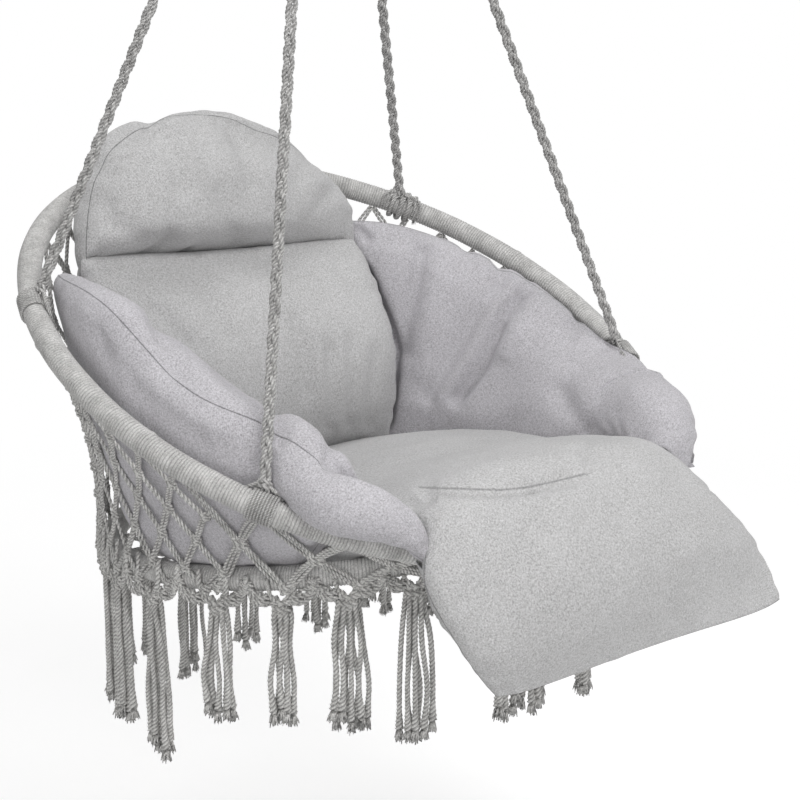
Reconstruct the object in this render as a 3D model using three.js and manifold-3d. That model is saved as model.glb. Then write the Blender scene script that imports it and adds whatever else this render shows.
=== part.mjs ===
// A hanging chair: two cord-wound steel hoops joined by a knotted net, four ropes
// gathered on a steel ring, a swivel hook above it and six loose cushions inside.
// Millimetres, +Z up. The origin is the bearing point inside the top eye; the
// chair's front faces -Y. Angles round a hoop run from the front towards +X.
import * as THREE from 'three';
import { mergeVertices } from 'three/addons/utils/BufferGeometryUtils.js';
import Module from 'manifold-3d';

const wasm = await Module();
wasm.setup();

const DEG = Math.PI / 180;
const mergeReach = 1e-4;
const probeShare = 1e-3;
const X_AXIS = new THREE.Vector3(1, 0, 0);
const Y_AXIS = new THREE.Vector3(0, 1, 0);
const Z_AXIS = new THREE.Vector3(0, 0, 1);

// Hoops
const upperRadius = 400;
const upperTilt = 23.6;
const lowerRadius = 300;
const lowerTilt = -9;
const frontReach = 77.2;
const frontLift = 4.9;
const tubeRadius = 11;
const tubeSides = 6;
const wrapRadius = 14.3;
const wrapSides = 8;
const wrapFit = 0.35;
const wrapSteps = 10;
const wrapQuarters = 4;
const seatGap = 0.5;

// Ropes
const ropeRadius = 6.5;
const ropeSides = 8;
const ropeSteps = 10;
const ropeRise = 1120;
const pivotBack = 20;
const frontRopeAngle = 63;
const backRopeAngle = 121.5;
const eyeHoleRadius = 12;
const eyeSteps = 14;
const eyeSpacing = 13.5;
const hitchWall = 7;
const hitchHalfAngle = 2.6;
const hitchSides = 12;

// Ring, hook and swivel
const ringRadius = 50;
const ringWire = 5;
const hookWire = 5.5;
const hookBend = 16;
const hookStraight = 30;
const hookRounds = 6;
const hookSteps = 20;
const barrelRadius = 13;
const barrelTop = -37;
const barrelBottom = -60;
const studRadius = 5;
const studHeadRadius = 8;
const studHeadHeight = 5;
const studFit = 0.5;
const headRoom = 2;
const capThickness = 10;
const eyeWire = 4.5;
const eyeInner = 12;
const gateWidth = 8;
const gateDepth = 7;
const gatePinRadius = 2;
const gateFit = 0.4;
const gateLength = 21.5;
const clevisWall = 3;
const pivotDrop = 84;
const metalFit = 0.3;
const roundSides = 16;

// Net and fringe
const netColumns = 32;
const panelColumns = 4;
const leadShare = 0.25;
const cordCutShare = 0.34;
const knotHalf = 6.5;
const netThickness = 6;
const netGap = 0.8;
const frontNetRows = 1;
const sideFrontNetRows = 3;
const sideBackNetRows = 5;
const backNetRows = 7;
const netBulge = 8;
const seatNetColumns = 12;
const seatNetRows = 3;
const seatNetInner = 32;
const seatNetSag = 34;
const fringeSectors = 12;
const tasselsPerSector = 2;
const tasselDrop = 50;
const tasselLength = 186;
const tasselKnot = 11;
const tasselNeck = 8;
const tasselKnotHeight = 12;
const tasselNeckHeight = 28;
const tasselFoot = 18;
const tasselOut = 7;
const tasselSides = 6;
const scallopCord = 7;
const scallopTurn = 70;
const scallopGap = 6.3;
const fringeGap = 0.2;

// Cushions
const wingThickness = 115;
const wingArch = 26;
const softGap = 0.8;
const netFacetSag = 1;
const roomSides = 12;
const slabOverShare = 0.32;
const flapRadius = 105;
const flapSlope = 41;
const roomSteps = 36;
const roomWallSteps = 5;
const rimFlare = 150;
const rimDroop = 60;
const edgeRoundShare = 0.36;
const drawInShare = 0.04;
const wayShare = 0.02;
const channelDepthShare = 0.5;
const channelPlaceShare = 0.68;
const channelWidthShare = 0.07;

const MATERIALS = {
  steel: new THREE.MeshStandardMaterial({ color: 0x8d9094, roughness: 0.35, metalness: 1 }),
  tube: new THREE.MeshStandardMaterial({ color: 0x3a3b3d, roughness: 0.5, metalness: 0.6 }),
  cord: new THREE.MeshStandardMaterial({ color: 0x9b9894, roughness: 0.95, metalness: 0 }),
  cloth: new THREE.MeshStandardMaterial({ color: 0xb4b2b1, roughness: 0.95, metalness: 0 }),
};

// A closed geometry as a solid, and back.
function solidOf(geometry) {
  const bare = geometry.clone();
  bare.deleteAttribute('normal');
  bare.deleteAttribute('uv');
  const merged = mergeVertices(bare, mergeReach);
  return new wasm.Manifold(new wasm.Mesh({
    numProp: 3,
    vertProperties: new Float32Array(merged.attributes.position.array),
    triVerts: new Uint32Array(merged.index.array),
  }));
}

function geometryOf(solid) {
  const mesh = solid.getMesh();
  const geometry = new THREE.BufferGeometry();
  geometry.setAttribute('position', new THREE.BufferAttribute(new Float32Array(mesh.vertProperties), 3));
  geometry.setIndex(new THREE.BufferAttribute(new Uint32Array(mesh.triVerts), 1));
  geometry.computeVertexNormals();
  return geometry;
}

function joined(...geometries) {
  return geometryOf(geometries.map(solidOf).reduce((whole, next) => whole.add(next)));
}

// The first shape with every other one cut away; of what is left, the main body.
function cutBy(geometry, cutters, within) {
  let solid = solidOf(geometry);
  if (within) solid = solid.intersect(solidOf(within));
  for (const cutter of cutters) solid = solid.subtract(solidOf(cutter));
  const bodies = solid.decompose();
  bodies.sort((a, b) => b.volume() - a.volume());
  return geometryOf(bodies[0]);
}

function addPiece(group, name, geometry, material) {
  const mesh = new THREE.Mesh(geometry, MATERIALS[material].clone());
  mesh.name = name;
  group.add(mesh);
  return mesh;
}

// A round bar between two points.
function barBetween(from, to, radius, sides) {
  const along = new THREE.Vector3().subVectors(to, from);
  const bar = new THREE.CylinderGeometry(radius, radius, along.length(), sides);
  bar.applyQuaternion(new THREE.Quaternion().setFromUnitVectors(Y_AXIS, along.clone().normalize()));
  const middle = new THREE.Vector3().addVectors(from, to).multiplyScalar(0.5);
  return bar.translate(middle.x, middle.y, middle.z);
}

// A round bar along a curve.
function roundBar(path, radius, sides, steps) {
  const section = new THREE.Shape();
  for (let side = 0; side < sides; side += 1) {
    const turn = (side + 0.5) / sides * 2 * Math.PI;
    const place = [radius * Math.cos(turn), radius * Math.sin(turn)];
    if (side === 0) section.moveTo(...place);
    else section.lineTo(...place);
  }
  section.closePath();
  return new THREE.ExtrudeGeometry(section, { steps, bevelEnabled: false, extrudePath: path });
}

// Hoops: the upper one's front lies frontReach ahead of the lower one's and frontLift over it.
const lowerFront = lowerRadius * Math.cos(lowerTilt * DEG);
const lowerFrontHeight = -lowerRadius * Math.sin(lowerTilt * DEG);
const upperBack = upperRadius * Math.cos(upperTilt * DEG) - lowerFront - frontReach;
const upperRise = upperRadius * Math.sin(upperTilt * DEG) + lowerFrontHeight + frontLift;

// A point on a hoop, with offsets outwards in the hoop's plane and up from it.
const upperHoop = { radius: upperRadius, tilt: upperTilt * DEG, back: upperBack, rise: upperRise };
const lowerHoop = { radius: lowerRadius, tilt: lowerTilt * DEG, back: 0, rise: 0 };
const hoopSteps = wrapSteps * wrapQuarters;
const panelAngle = panelColumns * 360 / netColumns;

function hoopPoint(hoop, degrees, outwards = 0, upwards = 0) {
  const r = hoop.radius + outwards;
  const inPlane = -r * Math.cos(degrees * DEG);
  return new THREE.Vector3(
    r * Math.sin(degrees * DEG),
    hoop.back + inPlane * Math.cos(hoop.tilt) - upwards * Math.sin(hoop.tilt),
    hoop.rise + inPlane * Math.sin(hoop.tilt) + upwards * Math.cos(hoop.tilt),
  );
}

function tangentOf(hoop, degrees) {
  return hoopPoint(hoop, degrees + 1).sub(hoopPoint(hoop, degrees - 1)).normalize();
}

// How far the straight facets of a hoop lie inside its true circle at an angle.
function facetInset(hoop, degrees) {
  const step = 360 / hoopSteps;
  const fromMiddle = ((degrees % step) + step) % step - step / 2;
  return hoop.radius * (1 - Math.cos(step / 2 * DEG) / Math.cos(fromMiddle * DEG));
}

class HoopArc extends THREE.Curve {
  constructor(hoop, from, to) {
    super();
    Object.assign(this, { hoop, from, to });
  }

  getPoint(t) {
    const degrees = this.from + (this.to - this.from) * t;
    return hoopPoint(this.hoop, degrees, -facetInset(this.hoop, degrees));
  }

  // The true circle's tangent, so that sections meet square to the hoop.
  getTangent(t) {
    return tangentOf(this.hoop, this.from + (this.to - this.from) * t);
  }
}

// How slanted a direction is to a hoop's tangent: the cosine of the angle between them.
function slantOf(hoop, degrees, way) {
  return Math.abs(way.clone().normalize().dot(tangentOf(hoop, degrees)));
}

// A round sleeve along a stretch of a hoop, its inner wall clear of what it goes round.
function sleeve(hoop, from, to, { inside, outside, sides, steps }) {
  const section = new THREE.Shape();
  const bore = new THREE.Path();
  for (const [path, radius] of [[section, outside], [bore, inside]]) {
    for (let side = 0; side < sides; side += 1) {
      const turn = side / sides * 2 * Math.PI;
      const place = [radius * Math.cos(turn), radius * Math.sin(turn)];
      if (side === 0) path.moveTo(...place);
      else path.lineTo(...place);
    }
    path.closePath();
  }
  section.holes.push(bore);
  const options = { steps, bevelEnabled: false, extrudePath: new HoopArc(hoop, from, to) };
  return new THREE.ExtrudeGeometry(section, options);
}

function hoopTube(hoop, radius, sides) {
  const ring = new THREE.TorusGeometry(hoop.radius, radius, sides, hoopSteps);
  return ring.rotateX(hoop.tilt).translate(0, hoop.back, hoop.rise);
}

function addHoop(group, name, hoop) {
  addPiece(group, `${name}_tube`, hoopTube(hoop, tubeRadius, tubeSides), 'tube');
  const inside = (tubeRadius + wrapFit) / Math.cos(Math.PI / wrapSides);
  const quarter = 360 / wrapQuarters;
  const endGap = metalFit / hoop.radius / DEG / 2;
  for (let k = 0; k < wrapQuarters; k += 1) {
    const wrap = sleeve(hoop, k * quarter + endGap, (k + 1) * quarter - endGap, {
      inside, outside: wrapRadius, sides: wrapSides, steps: wrapSteps,
    });
    addPiece(group, `${name}_wrap_${k + 1}`, wrap, 'cord');
  }
}

// A net: knots as four-cornered pads, cords as straight strips between their sides.
// Polygons run anticlockwise seen from outside; edges that two share get no wall.
class Net {
  constructor(surface, thickness) {
    this.surface = surface;
    this.half = thickness / 2;
    this.points = [];
    this.normals = [];
    this.polygons = [];
  }

  frameAt(c, s) {
    const at = this.surface(c, s);
    const right = this.surface(c + probeShare, s).sub(this.surface(c - probeShare, s)).normalize();
    const up = this.surface(c, s + probeShare).sub(this.surface(c, s - probeShare)).normalize();
    const normal = new THREE.Vector3().crossVectors(right, up).normalize();
    return { at, right, up, normal };
  }

  corners(c, s, half) {
    const { at, right, up, normal } = this.frameAt(c, s);
    const place = (way, share) => ({ point: at.clone().addScaledVector(way, half * share), normal });
    return { left: place(right, -1), bottom: place(up, -1), right: place(right, 1), top: place(up, 1) };
  }

  vertex({ point, normal }) {
    this.points.push(point);
    this.normals.push(normal);
    return this.points.length - 1;
  }

  knot(c, s, half) {
    const spots = this.corners(c, s, half);
    const ids = {};
    for (const side of Object.keys(spots)) ids[side] = this.vertex(spots[side]);
    this.polygons.push([ids.left, ids.bottom, ids.right, ids.top]);
    return ids;
  }

  geometry() {
    const edges = new Set();
    for (const polygon of this.polygons) {
      polygon.forEach((id, k) => edges.add(`${id} ${polygon[(k + 1) % polygon.length]}`));
    }
    const count = this.points.length;
    const positions = [];
    for (const side of [1, -1]) {
      this.points.forEach((point, k) => {
        positions.push(...point.clone().addScaledVector(this.normals[k], side * this.half).toArray());
      });
    }
    const faces = [];
    for (const polygon of this.polygons) {
      for (let k = 1; k + 1 < polygon.length; k += 1) {
        faces.push(polygon[0], polygon[k], polygon[k + 1]);
        faces.push(count + polygon[0], count + polygon[k + 1], count + polygon[k]);
      }
      polygon.forEach((id, k) => {
        const next = polygon[(k + 1) % polygon.length];
        if (edges.has(`${next} ${id}`)) return;
        faces.push(id, count + id, count + next, id, count + next, next);
      });
    }
    const geometry = new THREE.BufferGeometry();
    geometry.setAttribute('position', new THREE.Float32BufferAttribute(positions, 3));
    geometry.setIndex(faces);
    geometry.computeVertexNormals();
    return geometry;
  }
}

const between = (a, b, share) => ({
  point: a.point.clone().lerp(b.point, share),
  normal: a.normal.clone().lerp(b.normal, share).normalize(),
});

// Rows of knots, every other row shifted half a column, tied by slanting cords. The
// top row starts at the share of a column in lead. An open net ends in half cords at
// its sides.
function knottedNet(surface, { columns, rows, half, lead, closed }) {
  const net = new Net(surface, netThickness);
  const offsetOf = (row) => ((rows - row) % 2 ? 1 - lead : lead);
  const placeOf = (row, k) => [k + offsetOf(row), row / rows];
  const knots = [];
  for (let row = 0; row <= rows; row += 1) {
    knots.push([]);
    for (let k = 0; k < columns; k += 1) knots[row].push(net.knot(...placeOf(row, k), half));
  }
  for (let row = 0; row <= rows; row += 1) {
    const shift = offsetOf(row) > 0.5 ? 1 : 0;
    for (let k = 0; k < columns; k += 1) {
      const knot = knots[row][k];
      if (row < rows) {
        const above = knots[row + 1];
        if (closed || k + shift < columns) {
          const other = above[(k + shift) % columns];
          net.polygons.push([knot.right, other.bottom, other.left, knot.top]);
        }
        if (closed || k + shift > 0) {
          const other = above[(k + shift - 1 + columns) % columns];
          net.polygons.push([knot.top, other.right, other.bottom, knot.left]);
        }
      }
      if (closed) continue;
      const place = placeOf(row, k);
      if (shift === 1 && k === columns - 1) addHalfCords(net, knot, place, 1, { row, rows, half });
      if (shift === 0 && k === 0) addHalfCords(net, knot, place, -1, { row, rows, half });
    }
  }
  return net.geometry();
}

// The cords that an open net's outermost knot sends towards the next net.
function addHalfCords(net, knot, [c, s], side, { row, rows, half }) {
  const own = net.corners(c, s, half);
  const ends = side > 0
    ? { up: ['right', 'top', 'bottom', 'left'], down: ['bottom', 'right', 'left', 'top'] }
    : { up: ['top', 'left', 'right', 'bottom'], down: ['left', 'bottom', 'top', 'right'] };
  for (const [way, [near, far, from, to]] of Object.entries(ends)) {
    const rise = way === 'up' ? 1 : -1;
    if (row + rise < 0 || row + rise > rows) continue;
    const other = net.corners(c + side / 2, s + rise / rows, half);
    const a = net.vertex(between(own[near], other[from], cordCutShare));
    const b = net.vertex(between(own[far], other[to], cordCutShare));
    net.polygons.push([knot[near], a, b, knot[far]]);
  }
}

// The net's wall: down from under the upper hoop to the outside of the lower one, or
// in front, where the hoops are level, to the lower one's outer edge.
function wallSurface(firstColumn, isFront) {
  return (c, s) => {
    const degrees = (firstColumn + c) * 360 / netColumns;
    const top = hoopPoint(upperHoop, degrees, -facetInset(upperHoop, degrees));
    const foot = hoopPoint(lowerHoop, degrees);
    const rise = new THREE.Vector3().subVectors(top, foot);
    const aside = new THREE.Vector3().crossVectors(tangentOf(lowerHoop, degrees), rise).normalize();
    if (isFront) foot.addScaledVector(rise.clone().normalize(), wrapRadius + netGap + knotHalf);
    else foot.addScaledVector(aside, wrapRadius + netGap + netThickness / 2);
    const down = new THREE.Vector3().subVectors(foot, top);
    const reach = down.length();
    const square = Math.sqrt(1 - slantOf(upperHoop, degrees, down) ** 2);
    top.addScaledVector(down, (wrapRadius + netGap + knotHalf) / reach / square);
    const out = new THREE.Vector3(Math.sin(degrees * DEG), -Math.cos(degrees * DEG), 0);
    return foot.lerp(top, s).addScaledVector(out, netBulge * Math.sin(Math.PI * s) * reach / upperRadius);
  };
}

function addSideNet(group) {
  const rowsOf = [frontNetRows, sideFrontNetRows, sideBackNetRows, backNetRows];
  const panels = netColumns / panelColumns;
  for (let panel = 0; panel < panels; panel += 1) {
    const fromFront = Math.min(panel, panels - 1 - panel);
    const surface = wallSurface(panel * panelColumns, fromFront === 0);
    const net = knottedNet(surface, {
      columns: panelColumns, rows: rowsOf[fromFront], half: knotHalf, closed: false,
      lead: panel < panels / 2 ? leadShare : 1 - leadShare,
    });
    addPiece(group, `side_net_${panel + 1}`, net, 'cord');
  }
}

function seatNetSurface(c, s) {
  const outer = wrapRadius + seatGap + knotHalf;
  const degrees = c * 360 / seatNetColumns;
  const rim = lowerRadius - facetInset(lowerHoop, degrees) - outer;
  const reach = seatNetInner + (rim - seatNetInner) * s;
  const sag = seatNetSag * (1 - (reach / rim) ** 2);
  return hoopPoint(lowerHoop, degrees, reach - lowerRadius, -sag);
}

function addSeatNet(group) {
  const net = knottedNet(seatNetSurface, {
    columns: seatNetColumns, rows: seatNetRows, half: knotHalf, closed: true, lead: leadShare,
  });
  addPiece(group, 'seat_net', net, 'cord');
}

// The space inside the basket and over its rim, which the loose cushions fill.
function basketRoom() {
  const lift = netThickness / 2 + netFacetSag + softGap;
  const lines = [];
  for (let k = 0; k < roomSteps; k += 1) {
    const degrees = k * 360 / roomSteps;
    const column = degrees * netColumns / 360;
    const wall = new Net(wallSurface(0, Math.min(degrees, 360 - degrees) < panelAngle), 0);
    const line = [0, 0.5, 1].map((s) => seatNetSurface(degrees * seatNetColumns / 360, s));
    line.forEach((point) => point.addScaledVector(Z_AXIS, lift));
    for (let step = 0; step <= roomWallSteps; step += 1) {
      const { at, normal } = wall.frameAt(column, step / roomWallSteps);
      line.push(at.addScaledVector(normal, -lift));
    }
    line.push(hoopPoint(upperHoop, degrees).addScaledVector(wall.frameAt(column, 1).normal, -lift));
    const rim = hoopPoint(upperHoop, degrees, rimFlare, -rimDroop);
    line.push(rim, new THREE.Vector3(rim.x, rim.y, ropeRise));
    lines.push(line);
  }
  const rows = lines[0].length;
  const points = lines.flat();
  const floor = points.push(new THREE.Vector3(0, 0, lift - seatNetSag)) - 1;
  const roof = points.push(new THREE.Vector3(0, 0, ropeRise)) - 1;
  const faces = [];
  for (let k = 0; k < roomSteps; k += 1) {
    const [here, next] = [k * rows, (k + 1) % roomSteps * rows];
    faces.push(floor, next, here, roof, here + rows - 1, next + rows - 1);
    for (let row = 0; row + 1 < rows; row += 1) {
      faces.push(here + row, next + row, next + row + 1, here + row, next + row + 1, here + row + 1);
    }
  }
  const geometry = new THREE.BufferGeometry().setFromPoints(points);
  geometry.setIndex(faces);
  return geometry;
}

// Fringe: a scallop of cords under the lower hoop that ends in two tassels.
function tassel(top) {
  const profile = [
    new THREE.Vector2(0, -tasselLength),
    new THREE.Vector2(tasselFoot, -tasselLength),
    new THREE.Vector2(tasselNeck, -tasselNeckHeight),
    new THREE.Vector2(tasselKnot, -tasselKnotHeight),
    new THREE.Vector2(0, 0),
  ];
  const body = new THREE.LatheGeometry(profile, tasselSides);
  return body.rotateX(Math.PI / 2).translate(top.x, top.y, top.z);
}

function addFringe(group) {
  const sector = 360 / fringeSectors;
  const spacing = sector / tasselsPerSector;
  const clear = wrapRadius * Math.cos(Math.PI / wrapSides) + fringeGap + scallopCord / 2;
  const rootOut = clear * Math.cos(scallopTurn * DEG);
  const rootDown = clear * Math.sin(scallopTurn * DEG);
  const endGap = scallopGap / lowerRadius / DEG;
  for (let k = 0; k < fringeSectors; k += 1) {
    const pieces = [];
    for (let n = 0; n < tasselsPerSector; n += 1) {
      const degrees = k * sector + (n + 0.5) * spacing;
      const head = hoopPoint(lowerHoop, degrees, tasselOut).addScaledVector(Z_AXIS, -tasselDrop);
      pieces.push(tassel(head));
      const knot = head.clone().addScaledVector(Z_AXIS, -tasselKnotHeight);
      for (const side of [-1, 1]) {
        const isOuter = (n === 0) === (side < 0);
        const turn = side * (spacing / 2 - (isOuter ? endGap : 0));
        const root = hoopPoint(lowerHoop, degrees + turn, rootOut, -rootDown);
        pieces.push(barBetween(knot, root, scallopCord / Math.SQRT2, 4));
      }
    }
    addPiece(group, `fringe_${k + 1}`, joined(...pieces), 'cord');
  }
}

// Ropes: a straight leg with an eye that goes over the ring's lower wire.
function eyeSeat(x) {
  const inner = ringRadius - ringWire - metalFit - ropeRadius;
  return ringRadius - Math.sqrt(inner ** 2 - x ** 2);
}

function ropeAndEye(x, foot) {
  const middle = new THREE.Vector3(x, pivotBack, ropeRise + eyeSeat(x) - eyeHoleRadius - ropeRadius);
  const eye = new THREE.TorusGeometry(eyeHoleRadius + ropeRadius, ropeRadius, ropeSides, eyeSteps);
  eye.rotateY(Math.PI / 2).translate(middle.x, middle.y, middle.z);
  const start = middle.clone().addScaledVector(Z_AXIS, -eyeHoleRadius - ropeRadius);
  const leg = roundBar(new THREE.LineCurve3(start, foot), ropeRadius, ropeSides, ropeSteps);
  return joined(eye, leg);
}

// Each rope's name, its angle on the hoop, its eye's place on the ring, and the ends
// of its straight leg.
const hitchInside = (wrapRadius + seatGap) / Math.cos(Math.PI / hitchSides);
const hitchOutside = hitchInside + hitchWall;

function ropeLines() {
  const places = [
    ['front_left', -frontRopeAngle, -1.5 * eyeSpacing],
    ['back_left', -backRopeAngle, -0.5 * eyeSpacing],
    ['front_right', frontRopeAngle, 0.5 * eyeSpacing],
    ['back_right', backRopeAngle, 1.5 * eyeSpacing],
  ];
  return places.map(([name, degrees, x]) => {
    const on = hoopPoint(upperHoop, degrees, -facetInset(upperHoop, degrees));
    const hang = new THREE.Vector3(x, pivotBack, ropeRise);
    const up = hang.clone().sub(on).normalize();
    const slant = slantOf(upperHoop, degrees, up);
    const clear = hitchOutside + seatGap + ropeRadius * slant;
    const foot = on.clone().addScaledVector(up, clear / Math.sqrt(1 - slant ** 2));
    return { name, degrees, x, on, hang, foot };
  });
}

function addRopes(group) {
  for (const { name, degrees, x, foot } of ropeLines()) {
    addPiece(group, `rope_${name}`, ropeAndEye(x, foot), 'cord');
    const [from, to] = [degrees - hitchHalfAngle, degrees + hitchHalfAngle];
    const hitch = sleeve(upperHoop, from, to, {
      inside: hitchInside, outside: hitchOutside, sides: hitchSides, steps: 2,
    });
    addPiece(group, `rope_hitch_${name}`, hitch, 'cord');
  }
}

// Hardware, on the axis of the swivel.
function lathed(points, sides) {
  const profile = points.map(([radius, height]) => new THREE.Vector2(radius, height));
  return new THREE.LatheGeometry(profile, sides).rotateX(Math.PI / 2);
}

function addSwivelEye(group) {
  const loop = new THREE.TorusGeometry(eyeInner + eyeWire, eyeWire, roundSides / 2, roundSides);
  loop.rotateX(Math.PI / 2).translate(0, 0, -eyeInner);
  const headTop = barrelTop - capThickness - metalFit;
  const headBottom = headTop - studHeadHeight;
  const shankTop = -2 * eyeInner - eyeWire;
  const stud = lathed([
    [0, headBottom], [studHeadRadius, headBottom], [studHeadRadius, headTop],
    [studRadius, headTop], [studRadius, shankTop], [0, shankTop],
  ], roundSides);
  addPiece(group, 'swivel_eye', joined(loop, stud), 'steel');
}

// The hook bends in the YZ plane; its open side, +Y, is closed by the gate.
const hookBendHeight = -pivotDrop - hookStraight;
const noseTop = -pivotDrop - gateLength - metalFit - gateFit;

function hookPath() {
  const low = barrelBottom + hookWire / 2;
  const shoulder = low - hookBend;
  const spots = [
    [0, low], [-hookBend / 2, low - hookBend / 3], [-hookBend, shoulder],
    [-hookBend, (shoulder + hookBendHeight) / 2], [-hookBend, hookBendHeight],
  ];
  for (let k = 1; k <= hookRounds; k += 1) {
    const turn = Math.PI * k / hookRounds;
    spots.push([-hookBend * Math.cos(turn), hookBendHeight - hookBend * Math.sin(turn)]);
  }
  spots.push([hookBend, (hookBendHeight + noseTop) / 2], [hookBend, noseTop]);
  const points = spots.map(([y, z]) => new THREE.Vector3(0, y, z));
  return new THREE.CatmullRomCurve3(points, false, 'centripetal');
}

function addHook(group) {
  const bore = studRadius + studFit;
  const room = studHeadRadius + studFit;
  const roomTop = barrelTop - capThickness;
  const roomBottom = roomTop - studHeadHeight - headRoom;
  const barrel = lathed([
    [0, barrelBottom], [barrelRadius, barrelBottom], [barrelRadius, barrelTop], [0, barrelTop],
  ], roundSides);
  const cavity = lathed([
    [0, roomBottom], [room, roomBottom], [room, roomTop], [bore, roomTop],
    [bore, barrelTop + headRoom], [0, barrelTop + headRoom],
  ], roundSides);
  const bent = roundBar(hookPath(), hookWire, roundSides / 2, hookSteps);
  const arm = barBetween(
    new THREE.Vector3(0, 0, barrelBottom + hookWire / 2),
    new THREE.Vector3(0, hookBend, -pivotDrop + hookWire),
    hookWire, roundSides / 2,
  );
  const clevisWidth = gateWidth + 2 * (gateFit + clevisWall);
  const clevis = new THREE.BoxGeometry(clevisWidth, 2 * hookWire, 4 * hookWire);
  clevis.translate(0, hookBend, -pivotDrop + hookWire / 2);
  const slotDepth = 4 * hookWire;
  const slot = new THREE.BoxGeometry(gateWidth + 2 * gateFit, 4 * hookWire, slotDepth);
  slot.translate(0, hookBend, -pivotDrop + hookWire - slotDepth / 2);
  const pinHole = barBetween(
    new THREE.Vector3(-clevisWidth, hookBend, -pivotDrop),
    new THREE.Vector3(clevisWidth, hookBend, -pivotDrop), gatePinRadius + metalFit, roundSides / 2,
  );
  const body = joined(barrel, bent, arm, clevis);
  addPiece(group, 'swivel_hook', cutBy(body, [cavity, slot, pinHole]), 'steel');
}

function addGate(group) {
  const pivot = new THREE.Vector3(0, hookBend, -pivotDrop);
  const pin = barBetween(
    pivot.clone().addScaledVector(X_AXIS, -gateWidth / 2 - gateFit - clevisWall),
    pivot.clone().addScaledVector(X_AXIS, gateWidth / 2 + gateFit + clevisWall),
    gatePinRadius, roundSides / 2,
  );
  addPiece(group, 'gate_pin', pin, 'steel');
  const bar = new THREE.BoxGeometry(gateWidth, gateDepth, gateLength);
  bar.translate(pivot.x, pivot.y, pivot.z - gateLength / 2);
  const knuckle = barBetween(
    pivot.clone().addScaledVector(X_AXIS, -gateWidth / 2),
    pivot.clone().addScaledVector(X_AXIS, gateWidth / 2), gateDepth / 2, roundSides / 2,
  );
  const hole = barBetween(
    pivot.clone().addScaledVector(X_AXIS, -gateWidth),
    pivot.clone().addScaledVector(X_AXIS, gateWidth), gatePinRadius + metalFit, roundSides / 2,
  );
  addPiece(group, 'hook_gate', cutBy(joined(bar, knuckle), [hole]), 'steel');
}

const hookLow = hookBendHeight - hookBend;
const ringTop = hookLow + hookWire + metalFit + ringWire;
const ringBottom = ringTop - 2 * ringRadius;

function addRing(group) {
  const ring = new THREE.TorusGeometry(ringRadius, ringWire, roundSides / 2, 2 * roundSides);
  ring.rotateX(Math.PI / 2).translate(0, 0, ringTop - ringRadius);
  addPiece(group, 'hang_ring', ring, 'steel');
}

const shareOf = (value) => Math.min(1, Math.max(0, value));
const shifted = (u, v, du, dv) => [shareOf(u + du * probeShare), shareOf(v + dv * probeShare)];

// Cushions: a crowned sheet between a left and a right edge, given at stations along
// it. Rows hold the two edges' places, the arch of the middle and the thickness.
function cushion(stations, { across, along, drawIn = drawInShare, channel = () => 1 }) {
  const lines = ['left', 'right'].map((edge) => new THREE.CatmullRomCurve3(stations.map((st) => st[edge])));
  const extras = new THREE.CatmullRomCurve3(stations.map((st) => new THREE.Vector3(st.arch, st.thick, 0)));
  const middle = (u, v) => {
    const inU = 0.5 + (u - 0.5) * (1 - drawIn * 4 * v * (1 - v));
    const inV = 0.5 + (v - 0.5) * (1 - drawIn * 4 * u * (1 - u));
    const [left, right] = lines.map((line) => line.getPoint(inV));
    const arch = extras.getPoint(inV).x * 4 * inU * (1 - inU);
    const wide = new THREE.Vector3().subVectors(right, left).normalize();
    const way = lines[1].getPoint(shareOf(inV + wayShare)).sub(lines[1].getPoint(shareOf(inV - wayShare)));
    const lift = new THREE.Vector3().crossVectors(way, wide).normalize();
    return left.lerp(right, inU).addScaledVector(lift, arch);
  };
  const points = [];
  const ids = [];
  for (const side of [1, -1]) {
    ids.push([]);
    for (let i = 0; i <= across; i += 1) {
      ids[ids.length - 1].push([]);
      for (let j = 0; j <= along; j += 1) {
        const edge = i === 0 || j === 0 || i === across || j === along;
        if (edge && side < 0) {
          ids[1][i].push(ids[0][i][j]);
          continue;
        }
        const [u, v] = [i / across, j / along];
        const at = middle(u, v);
        const du = middle(...shifted(u, v, 1, 0)).sub(middle(...shifted(u, v, -1, 0)));
        const dv = middle(...shifted(u, v, 0, 1)).sub(middle(...shifted(u, v, 0, -1)));
        const normal = new THREE.Vector3().crossVectors(dv, du).normalize();
        const round = edge ? 0 : (16 * u * (1 - u) * v * (1 - v)) ** edgeRoundShare;
        const half = extras.getPoint(v).y / 2 * round * channel(u, v);
        points.push(at.addScaledVector(normal, side * half));
        ids[ids.length - 1][i].push(points.length - 1);
      }
    }
  }
  const faces = [];
  for (let i = 0; i < across; i += 1) {
    for (let j = 0; j < along; j += 1) {
      const [a, b, c, d] = [ids[0][i][j], ids[0][i + 1][j], ids[0][i + 1][j + 1], ids[0][i][j + 1]];
      faces.push(a, c, b, a, d, c);
      const [e, f, g, h] = [ids[1][i][j], ids[1][i + 1][j], ids[1][i + 1][j + 1], ids[1][i][j + 1]];
      faces.push(e, f, g, e, g, h);
    }
  }
  const geometry = new THREE.BufferGeometry();
  geometry.setFromPoints(points);
  geometry.setIndex(faces);
  geometry.computeVertexNormals();
  return geometry;
}

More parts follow.
